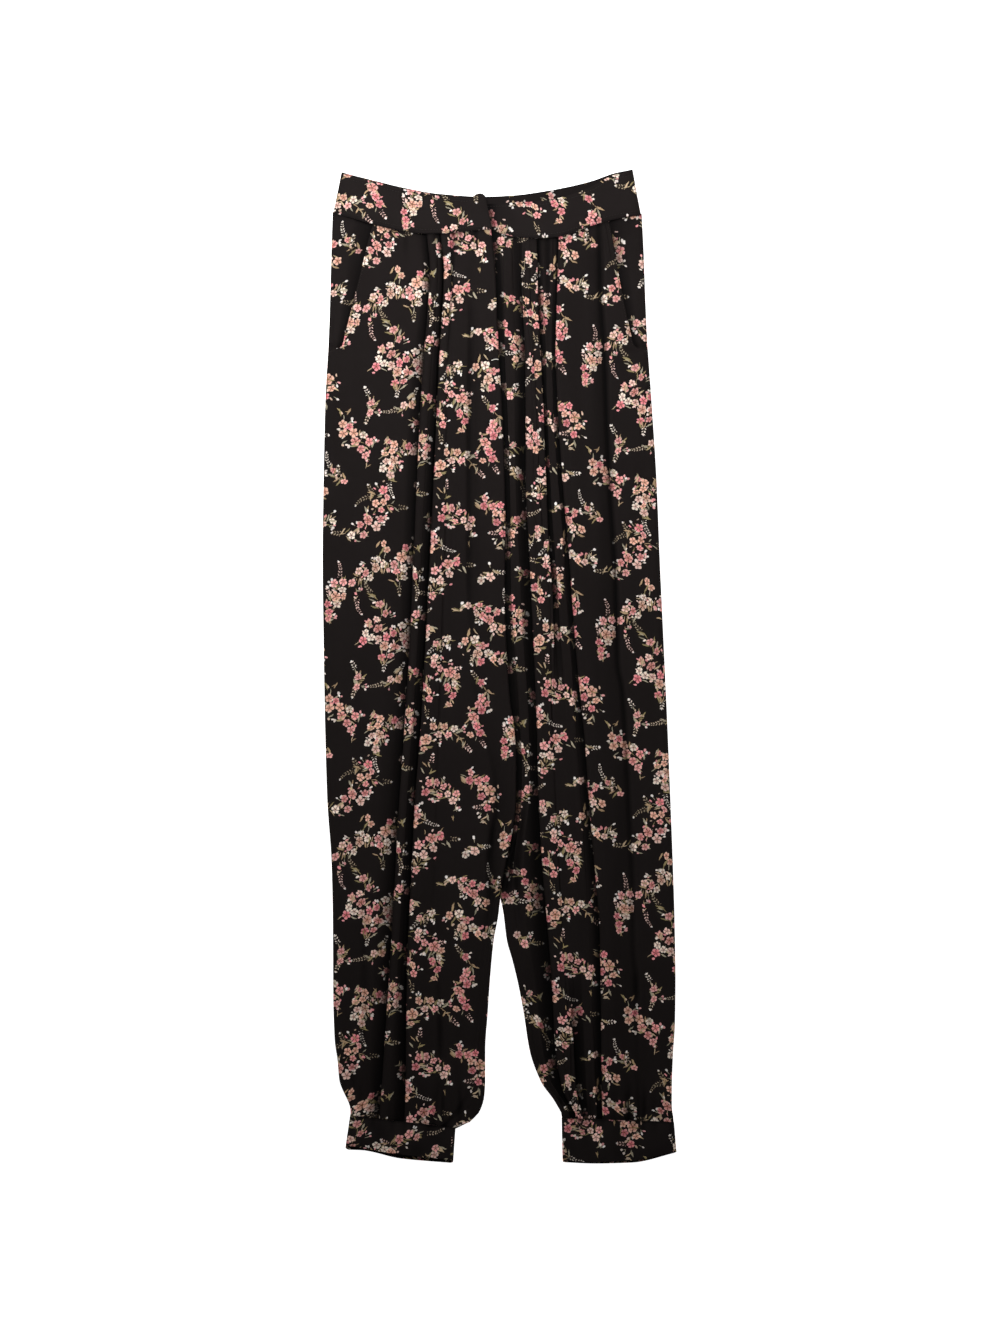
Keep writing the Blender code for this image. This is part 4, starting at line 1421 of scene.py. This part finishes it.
class FrontPanel(Panel):
    """A front: pocket mouth, pleats, fly or centre seam, and inseam."""

    def outer_edge(self, down: Array) -> list[Array]:
        """The pocket mouth, and below it the fold down to the side seam.

        Args:
            down: The sections.

        Returns:
            Its knots, from the outermost inwards.
        """
        leg = self.leg
        start = np.where(down < MOUTH_END, leg.mouth.at(down), leg.outer.at(down))
        free = edge(start, -leg.side.value, ((0.0, 5.1), (1.5, 5.5), (5.0, 5.4)))
        rolled = edge(start, -leg.side.value, ROLLED)
        return mixed(free, rolled, smooth(MOUTH_CORNER, MOUTH_END, down))

    def inner_edge(self, down: Array) -> list[Array]:
        """The centre front, and below the crotch the fold down to the inseam.

        Args:
            down: The sections.

        Returns:
            Its knots, from the outermost inwards.
        """
        leg, side = self.leg, self.leg.side.value
        start = leg.inner(down)
        if leg.side is Side.RIGHT:
            top = edge(start, side, ((2.0, 4.0), (2.25, 5.2), (5.4, 5.8)))
        else:
            lap = between(FLY_LAP, SEAM_LAP, smooth(FLY_END - 5, FLY_END + 25, down))
            lap = between(lap, -0.9, smooth(*LAP_ENDS, down))
            open_fold = smooth(FLY_END, FLY_END + 130, down)
            # The cloth beside and under the right front's edge gets painted shade.
            top = [knot(start - lap, LOW, 1.0, 0.0), knot(start + 0.6, LOW + 0.1, 1.0, 0.0, 4.5),
                   knot(start + 3.0, LOW + 0.6, 0.85, 0.0, 1.6 + 2.0 * open_fold)]
        return mixed(top, edge(start, side, ROLLED), smooth(*EDGES_ROLL, down))

    def shell(self) -> Shell:
        """Lays the front's cloth.

        Returns:
            Its shell.
        """
        down = self.stations()
        first, last = self.leg.ordered(self.outer_edge(down), self.inner_edge(down))
        columns = refined(joined(self.leg.folds, down, first, last, self.rest), self.step)
        return Shell(*self.laid(down, columns, self.leg.seam))


@dataclass
class BackPanel(Panel):
    """A back: flat on the surface, with its edges turned up at the seams."""

    lifted: float = 1.3  # how much its ends rise to the waistband and the cuff

    def shell(self) -> Shell:
        """Lays the back's cloth.

        Returns:
            Its shell.
        """
        down, leg, side = self.stations(), self.leg, self.leg.side.value
        turned = ((0.75, 2.0), (0.9, 1.1), (4.6, FLAT))
        start = leg.inner(down)
        closed = edge(start, side, ((0.1, FLAT), (2.2, FLAT), (5.0, FLAT)))
        inner = mixed(closed, edge(start, side, turned), smooth(CROTCH, CROTCH + 8, down))
        first, last = leg.ordered(edge(leg.outer.at(down), -side, turned), inner)
        knots = [*first, *span(first[-1], last[0], FLAT), *last]
        columns = refined(np.stack(knots, axis=1), self.step)
        columns[..., 3] = 0.0  # it doesn't swell
        points, cloth, shade = self.laid(down, columns, SEAM_BACK)
        for row, way in ((0, -1), (-1, 1)):
            points[row, :, 1] += way * TUCKED
            points[row, :, 2] += self.lifted
            cloth[row, :, 1] += way * TUCKED
        return Shell(points, cloth, shade * 0.4, outside=-1)


@dataclass
class HipPiece(Panel):
    """The piece that shows behind a pocket mouth."""

    foot: float = 199.0  # where it ends, just below the mouth
    sunk: float = 1.6  # how much it dips there, under the front

    def shell(self) -> Shell:
        """Lays the hip piece's cloth.

        Returns:
            Its shell.
        """
        leg, side = self.leg, self.leg.side.value
        down = self.stations(self.foot)
        start, mouth = leg.outer.at(down), leg.mouth.at(np.minimum(down, MOUTH_CORNER))
        turned = edge(start, -side, ((0.75, 2.7), (0.85, 3.6), (4.0, 4.3)))
        line = mouth + side * 2.5
        # Painted shade in the pocket mouth, under the front's edge.
        knots = turned + [
            knot((turned[-1][:, 0] + line) / 2, 4.4, 0.0, 0.3),
            knot(line, 3.4, 0.7, 0.0, 5.0), knot(mouth - side * 7.0, 3.0, 1.0, 0.0)]
        knots = knots if side < 0 else knots[::-1]
        columns = refined(np.stack(knots, axis=1), self.step)
        points, cloth, shade = self.laid(down, columns, leg.seam)
        points[..., 2] -= self.sunk * smooth(188.0, 193.0, down)[:, None] * (points[..., 2] > 3.2)
        points[0, :, 1] -= TUCKED
        cloth[0, :, 1] -= TUCKED
        return Shell(points, cloth, shade)


@dataclass
class Band:
    """One length of the waistband, between its top edge and its seam."""

    top: Track
    seam: Track
    left: Pair  # x of an end, at its top and at its seam
    right: Pair
    profile: tuple[Profile, ...]
    crown: float = 0.5
    outside: int = 1

    def shell(self) -> Shell:
        """Lays the band's cloth.

        Returns:
            Its shell.
        """
        parts = np.linspace(0, 1, 11)
        start, end = between(*self.left, parts), between(*self.right, parts)
        knots = [knot(between(start, end, share) + push, z, shade)
                 for share, push, z, shade in self.profile]
        columns = refined(np.stack(knots, axis=1))
        x, z, shade = columns[..., 0], columns[..., 1].copy(), columns[..., 2].copy()
        part = parts[:, None]
        down = between(self.top.at(x), self.seam.at(x), part)
        edges = 1 - (1 - smooth(0, 0.16, part)) * 0.75 - smooth(0.86, 1.0, part) * 0.9
        z = z + self.crown * edges + 0.12 * self.crown * np.sin(x / 11) * edges
        pucker = np.sin(x / 2.1 + np.sin(x / 7)) * smooth(0.7, 1.0, part)
        z = z + 0.18 * self.crown * pucker
        # Painted shade along the band's seam.
        shade = (shade + 0.3 * smooth(0.9, 1.0, part)).clip(0, 1)
        cloth = np.stack([arc_lengths(x, z, x.shape[1] // 2) + x.mean(), down], axis=-1)
        return Shell(np.stack([x, down, z.clip(LOWEST_DOUBLED)], axis=-1), cloth, shade,
                     wall=DOUBLED, outside=self.outside, through=0.9)


def inwards(end: float, side: int, points: Iterable[Pair]) -> list[Profile]:
    """A band's profile at its end (0 or 1), from how far in each knot lies and its height."""
    found = [(end, side * t, z, 0.0) for t, z in points]
    return found if side > 0 else found[::-1]


def level_run(start: int, count: int, height: float, shade: float) -> list[Profile]:
    """A band's profile between its ends, as even steps at one height."""
    return [(i / count, 0.0, height, shade) for i in range(start, count)]


TOP_ROLL = ((0.8, 3.1), (1.15, 4.7), (4.8, 5.9))
BACK_ROLL = ((0.8, 2.2), (1.15, 1.4), (4.8, 0.75))
# The right front laps over the left one, with a small knob of cloth at the top of its end.
# The back band has light painted shade along its length.
WAIST_BACK = Band(
    Track((-171, 3), (-161.5, 5.5), (-135.5, 12), (-100, 20.5), (-64.5, 26.5), (-15.5, 29.5),
          (16.5, 28), (43.5, 24.5), (76, 18.5), (100, 12.5), (124.5, 4), (144, 0)),
    SEAM_BACK, left=(-171, -180), right=(144, 153), crown=0.0, outside=-1, profile=(
        *inwards(0.0, 1, BACK_ROLL), *level_run(1, 18, 0.75, 0.25), *inwards(1.0, -1, BACK_ROLL)))
# Its end under the right band is darkened with painted shade.
WAIST_LEFT = Band(
    Track((-24.5, 39), (-5, 37.5), (31, 36), (51.5, 34), (81.5, 26.5), (97.5, 20), (112, 12),
          (124.5, 6.5), (144, 2)),
    LEFT_LEG.seam, left=(-24.5, -23), right=(144, 153), profile=(
        (0.0, 0.0, 3.5, 1.0), (0.0, 12.0, 3.6, 1.0), (0.0, 15.5, 3.9, 0.9), (0.0, 22.0, 4.9, 0.3),
        *level_run(3, 12, 5.9, 0.0), *inwards(1.0, -1, TOP_ROLL)))
WAIST_RIGHT = Band(
    Track((-171, 5.5), (-161.5, 7.5), (-135.5, 14), (-100, 22.5), (-64.5, 28.5), (-34, 31.5),
          (-29, 30.2), (-24, 27.0), (-19.5, 26.5), (-15.5, 29.5)),
    RIGHT_LEG.seam, left=(-171, -180), right=(-15.5, -8), profile=(
        *inwards(0.0, 1, TOP_ROLL), *level_run(1, 12, 6.1, 0.0), (1.0, -2.5, 6.1, 0.0),
        (1.0, 0.0, 5.7, 0.1)))


@dataclass
class Cuff:
    """A narrow doubled cuff: a flattened ring, with its back hanging a little below its front."""

    top: Track
    front: Track
    back: Track
    left: Pair  # x of an end, at its top and at its hem
    right: Pair
    low: float = 0.8
    high: float = 6.4

    def shell(self) -> Shell:
        """Lays the cuff's cloth.

        Returns:
            Its shell.
        """
        low, high, parts = self.low, self.high, np.linspace(0, 1, 12)
        radius, middle = (high - low) / 2, (high + low) / 2
        left, right = between(*self.left, parts), between(*self.right, parts)
        half, centre = (right - left) / 2 - radius - DOUBLED / 2, (left + right) / 2
        flat = max(round(float(half.max()) * 2 / CELL), 4)
        across = 1 - 2 * np.arange(1, flat) / flat
        turn = np.linspace(math.pi / 2, -math.pi / 2, 7)
        shares = np.concatenate([np.ones(7), across, -np.ones(7), -across])
        bulge = np.concatenate([
            radius * np.cos(turn), 0 * across, -radius * np.cos(turn), 0 * across])
        heights = np.concatenate([
            middle + radius * np.sin(turn), 0 * across + low, middle - radius * np.sin(turn),
            0 * across + high])
        x = centre[:, None] + half[:, None] * shares + bulge
        z = np.broadcast_to(heights, x.shape).copy()
        share = (z - low) / (high - low)
        hem, part = between(self.back.at(x), self.front.at(x), share), parts[:, None]
        down = between(self.top.at(x), hem, part)
        upper = smooth(0.6, 1.0, share)
        ripple = np.sin(x / 2.3 + 1.7 * np.sin(x / 8)) * (1 - smooth(0.0, 0.5, part))
        swells = 0.5 * np.sin(x / 8.5 + 2.5 * part) + 0.35 * np.sin(x / 5.1 - 3.0 * part)
        z += upper * (0.35 * ripple + 0.5 * swells + 0.6 * np.sin(math.pi * part))
        # Painted shade in the gathers and swells, along the top seam and on the layer underneath.
        shade = upper * ((-ripple).clip(0) * 0.45 + (-swells).clip(0) * 0.35)
        shade += upper * 0.35 * (1 - smooth(0.0, 0.1, part)) + (1 - upper) * 0.15
        closed = [np.concatenate([part, part[:, :1]], axis=1) for part in (x, z, down)]
        cloth = np.stack([arc_lengths(*closed[:2], 0), closed[2]], axis=-1)
        return Shell(np.stack([x, down, z.clip(LOWEST_DOUBLED)], axis=-1), cloth, shade.clip(0, 1),
                     wall=DOUBLED, ring=True, through=0.9)


# ---------------------------------------------------------------------------------------------
# Sewing


class Stitching:
    """Rows of stitches that Geometry Nodes lay along guide lines."""

    def __init__(self, material: bpy.types.Material) -> None:
        """Starts with no rows."""
        self.material = material
        self.guides: list[Array] = []

    def along(self, line: Array) -> None:
        """Adds a guide line of points in metres."""
        self.guides.append(np.asarray(line))

    def tree(self) -> bpy.types.NodeTree:
        """Builds the node tree, with named inputs for the stitch's sizes.

        Returns:
            The tree.
        """
        tree = bpy.data.node_groups.new("stitch_row", "GeometryNodeTree")
        for name, kind in (("Geometry", "Geometry"), ("Pitch", "Float"), ("Stitch Length", "Float"),
                           ("Thread Width", "Float"), ("Seed", "Int"), ("Thread", "Material")):
            tree.interface.new_socket(name, in_out="INPUT", socket_type=f"NodeSocket{kind}")
        tree.interface.new_socket("Geometry", in_out="OUTPUT", socket_type="NodeSocketGeometry")
        nodes, given = Nodes(tree), tree.nodes.new("NodeGroupInput").outputs
        line, pitch, length, width, seed, thread = (Socket(nodes, given[i]) for i in range(6))
        curve = nodes.node("GeometryNodeMeshToCurve", {}, line)
        even = nodes.node("GeometryNodeResampleCurve", {"mode": "LENGTH"},
                          named={0: curve, "Length": pitch})
        bead = nodes.node("GeometryNodeMeshIcoSphere", named={"Subdivisions": 2, "Radius": 0.5})
        size = nodes.node("ShaderNodeCombineXYZ", {}, length, width, width)
        turned = nodes.node("FunctionNodeAlignRotationToVector", {"axis": "X"},
                            named={"Vector": nodes.node("GeometryNodeInputTangent")})
        sway = (0.05, 0.05, 0.06)  # radians, how far a stitch may turn
        jitter = nodes.node("FunctionNodeRandomValue", {"data_type": "FLOAT_VECTOR"},
                            [-angle for angle in sway], sway, named={"Seed": seed})
        loose = nodes.node("FunctionNodeRotateRotation", {}, turned, jitter)
        laid = nodes.node("GeometryNodeInstanceOnPoints", named={
            "Points": even, "Instance": bead, "Rotation": loose, "Scale": size})
        real = nodes.node("GeometryNodeRealizeInstances", {}, laid)
        sewn = nodes.node("GeometryNodeSetMaterial", named={0: real, "Material": thread})
        nodes.feed(tree.nodes.new("NodeGroupOutput").inputs[0], sewn)
        return tree

    def build(self, name: str, pitch: float, length: float, width: float,
              seed: int) -> bpy.types.Object:
        """Sews all rows.

        Args:
            name: The piece's name.
            pitch: From one stitch to the next, in millimetres.
            length: Of a stitch.
            width: Of the thread.
            seed: For the slight unevenness.

        Returns:
            One plain mesh with every stitch.
        """
        points = np.vstack(self.guides)
        edges, start = [], 0
        for line in self.guides:
            edges += [(start + i, start + i + 1) for i in range(len(line) - 1)]
            start += len(line)
        mesh = bpy.data.meshes.new(f"{name}_guide")
        mesh.from_pydata(points.tolist(), edges, [])
        guide, tree = linked(f"{name}_guide", mesh), self.tree()
        modifier = guide.modifiers.new("stitches", "NODES")
        modifier.node_group = tree
        values = {"Pitch": pitch * MM, "Stitch Length": length * MM, "Thread Width": width * MM,
                  "Seed": seed, "Thread": self.material}
        for item in tree.interface.items_tree:
            if item.in_out == "INPUT" and item.name in values:
                modifier[item.identifier] = values[item.name]
        evaluated = guide.evaluated_get(bpy.context.evaluated_depsgraph_get())
        sewn = bpy.data.meshes.new_from_object(evaluated)
        sewn.name = name
        sewn.shade_smooth()
        bpy.data.objects.remove(guide)
        bpy.data.node_groups.remove(tree)
        LOG.info("%s: %d faces in %d rows", name, len(sewn.polygons), len(self.guides))
        return linked(name, sewn)


# ---------------------------------------------------------------------------------------------
# The studio


@dataclass(frozen=True)
class Studio:
    """A pale floor, soft light from the head of the picture and a camera straight above."""

    lens: float = 85.0
    sensor: float = 36.0
    view_height: float = 1.4407  # m of floor from the top to the bottom of the picture
    centre: Pair = (0.0005, -0.0006)  # m, the middle of the picture on the trousers
    focus: float = 0.004  # m, height at which view_height holds
    floor_tone: Colour = (0.93, 0.93, 0.925, 1.0)
    glow: float = 1.0  # the floor is a light table, white even where the lights fall off
    room: float = 0.03  # light from all round

    def build(self) -> None:
        """Sets up the floor, the lights and the camera."""
        self._floor()
        for name, place, aim, size, power in (
                ("key", (-0.22, 0.67, 0.83), (0.0, 0.21), (0.8, 0.5), 11.7),
                ("fill", (0.45, 0.35, 1.3), (0.0, 0.05), (1.0, 1.0), 4.0),
                ("low_fill", (0.3, -1.3, 2.4), (0.0, -0.2), (2.0, 1.2), 0.8)):
            self._light(name, Vector(place), aim, size, power)
        world = bpy.data.worlds.new("soft_room")
        world.use_nodes = True
        background = world.node_tree.nodes["Background"]
        background.inputs["Color"].default_value = (1.0, 1.0, 1.0, 1.0)
        background.inputs["Strength"].default_value = self.room
        scene = bpy.context.scene
        scene.world = world
        scene.view_settings.view_transform = "Standard"
        scene.view_settings.look = "None"
        self._camera()

    def _floor(self) -> None:
        """A plain pale floor with a faint unevenness."""
        mesh = bpy.data.meshes.new("floor")
        reach, drop = 3.0, -0.0004
        corners = [(x * reach, y * reach, drop) for x, y in ((-1, -1), (1, -1), (1, 1), (-1, 1))]
        mesh.from_pydata(corners, [], [(0, 1, 2, 3)])
        shader = Shader("floor_paper")
        where = shader.node("ShaderNodeTexCoord", output="Object")
        tone = shader.mix(shader.noise(where, 3.0) * 0.3, self.floor_tone, (0.91, 0.91, 0.91, 1.0))
        mesh.materials.append(shader.dress(
            Base_Color=tone, Roughness=0.9, Specular_IOR_Level=0.2,
            Emission_Color=(1.0, 1.0, 1.0, 1.0), Emission_Strength=self.glow))
        linked("floor", mesh)

    def _light(self, name: str, place: Vector, aim: Pair, size: Pair, power: float) -> None:
        """A soft box that faces a place on the floor and that the camera doesn't see.

        Args:
            name: Its name.
            place: Where it hangs.
            aim: Where it points, on the floor.
            size: Its width and height.
            power: In watts.
        """
        data = bpy.data.lights.new(name, "AREA")
        data.shape, data.energy = "RECTANGLE", power
        data.size, data.size_y = size
        light = linked(name, data)
        light.location = place
        light.rotation_euler = (Vector((*aim, 0.0)) - place).to_track_quat("-Z", "Y").to_euler()
        light.visible_camera = False

    def _camera(self) -> None:
        """A long lens straight above the middle of the trousers."""
        data = bpy.data.cameras.new("camera")
        data.sensor_fit = "VERTICAL"
        data.sensor_height, data.sensor_width = self.sensor, self.sensor * 0.75
        data.lens, data.clip_end = self.lens, 20.0
        camera = linked("camera", data)
        camera.location = (*self.centre, self.view_height * self.lens / self.sensor + self.focus)
        bpy.context.scene.camera = camera


# ---------------------------------------------------------------------------------------------
# The pieces, in the order in which they are made


CUFF_RIGHT = Cuff(
    RIGHT_LEG.cuff, front=Track((-166.5, 1053.5), (-107, 1064), (-50, 1070)),
    back=Track((-166.5, 1059.5), (-150, 1060), (-107, 1069), (-50, 1074)),
    left=(-161.5, -166.5), right=(-47.5, -50))
CUFF_LEFT = Cuff(
    LEFT_LEG.cuff, front=Track((68, 1070.5), (103, 1072), (143, 1070.5), (191.2, 1060.5)),
    back=Track((68, 1073), (103, 1074.5), (143, 1073.5), (191.2, 1062.5)),
    left=(67, 68), right=(188.5, 191.2))


@dataclass(frozen=True)
class Cut:
    """One piece of the trousers: its form, and its place on the printed cloth in millimetres."""

    node: str  # the solid that it replaces
    form: Panel | Band | Cuff
    offset: Pair
    slot: str = "crepe"
    held: str = "laid"
    rests_on: tuple[str, ...] = ()

    def make(self, prints: PrintedCloth, material: bpy.types.Material) -> Shell:
        """Makes the piece and rides it on the trousers.

        Args:
            prints: The printed cloth.
            material: Its finish.

        Returns:
            Its shell.
        """
        shell, name = self.form.shell(), f"{self.node.removeprefix('waist')}_crepe"
        piece = shell.build(name, prints, self.offset, material)
        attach(piece, "root")
        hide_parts(self.node)
        area = shell.area()
        return shell


CUTS = (
    Cut("back_right", BackPanel(RIGHT_LEG), (40.0, 900.0)),
    Cut("back_left", BackPanel(LEFT_LEG), (880.0, 60.0)),
    Cut("hip_right", HipPiece(RIGHT_LEG), (330.0, 210.0), rests_on=("back_right_crepe",)),
    Cut("hip_left", HipPiece(LEFT_LEG), (612.0, 470.0), rests_on=("back_left_crepe",)),
    Cut("front_right", FrontPanel(RIGHT_LEG), (148.0, 109.0), held="folded",
        rests_on=("back_right_crepe",)),
    Cut("front_left", FrontPanel(LEFT_LEG), (504.0, 216.0), held="folded",
        rests_on=("back_left_crepe",)),
    Cut("waistband_back", WAIST_BACK, (70.0, 140.0), "crepe_doubled"),
    Cut("waistband_left", WAIST_LEFT, (505.0, 335.0), "crepe_doubled"),
    Cut("waistband_right", WAIST_RIGHT, (262.0, 88.0), "crepe_doubled"),
    Cut("cuff_right", CUFF_RIGHT, (84.0, 288.0), "crepe_doubled"),
    Cut("cuff_left", CUFF_LEFT, (414.0, 42.0), "crepe_doubled"))


def sewn(shells: dict[str, Shell]) -> None:
    """Sews the topstitching and the bar tack at the foot of the fly.

    Args:
        shells: The shells of all pieces, by their nodes.
    """
    rows = Stitching(SewingThread().material("black_thread"))
    for node in ("waistband_left", "waistband_right"):
        for row in (-2, 1):
            rows.along(shells[node].seam_line(row, slice(3, -3)))
    for node, column in (("front_right", 2), ("front_left", -3)):
        last = int((shells[node].points[:, 0, 1] < MOUTH_CORNER).sum())
        rows.along(shells[node].seam_line(slice(1, last), column))
    topstitching = rows.build("topstitching", pitch=3.1, length=2.3, width=0.36, seed=5)

    pale = SewingThread(colour=(0.70, 0.66, 0.60, 1.0), lustre=(0.86, 0.83, 0.78, 1.0))
    tack = Stitching(pale.material("pale_thread"))
    tack.along([((-8.2 + 1.3 * i) * MM, (LENGTH / 2 - 206.8 + rise) * MM, 0.0068)
                for i, rise in enumerate((0.0, 0.5, 0.9, 1.1, 1.1, 0.8))])
    bar = tack.build("fly_bar_tack", pitch=0.62, length=1.5, width=0.9, seed=9)
    for piece, slot in ((topstitching, "crepe_doubled"), (bar, "crepe")):
        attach(piece, "root")


def main() -> None:
    """Builds every piece of the trousers, then the studio."""
    logging.basicConfig(level=logging.INFO, format="%(message)s")
    prints = PrintedCloth()
    # The doubled bands and cuffs get a lighter copy of the crepe: painted light in their ground
    # colour.
    doubled = PrintedCrepe((0.0114, 0.0089, 0.0085, 1.0), (0.0142, 0.0112, 0.0107, 1.0))
    finishes = {"crepe": PrintedCrepe().material("printed_crepe"),
                "crepe_doubled": doubled.material("printed_crepe_doubled_painted_lighter")}
    sewn({cut.node: cut.make(prints, finishes[cut.slot]) for cut in CUTS})
    Studio().build()
    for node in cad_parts:
        LOG.info("node %s is dressed", node)


if __name__ == "__main__":
    main()
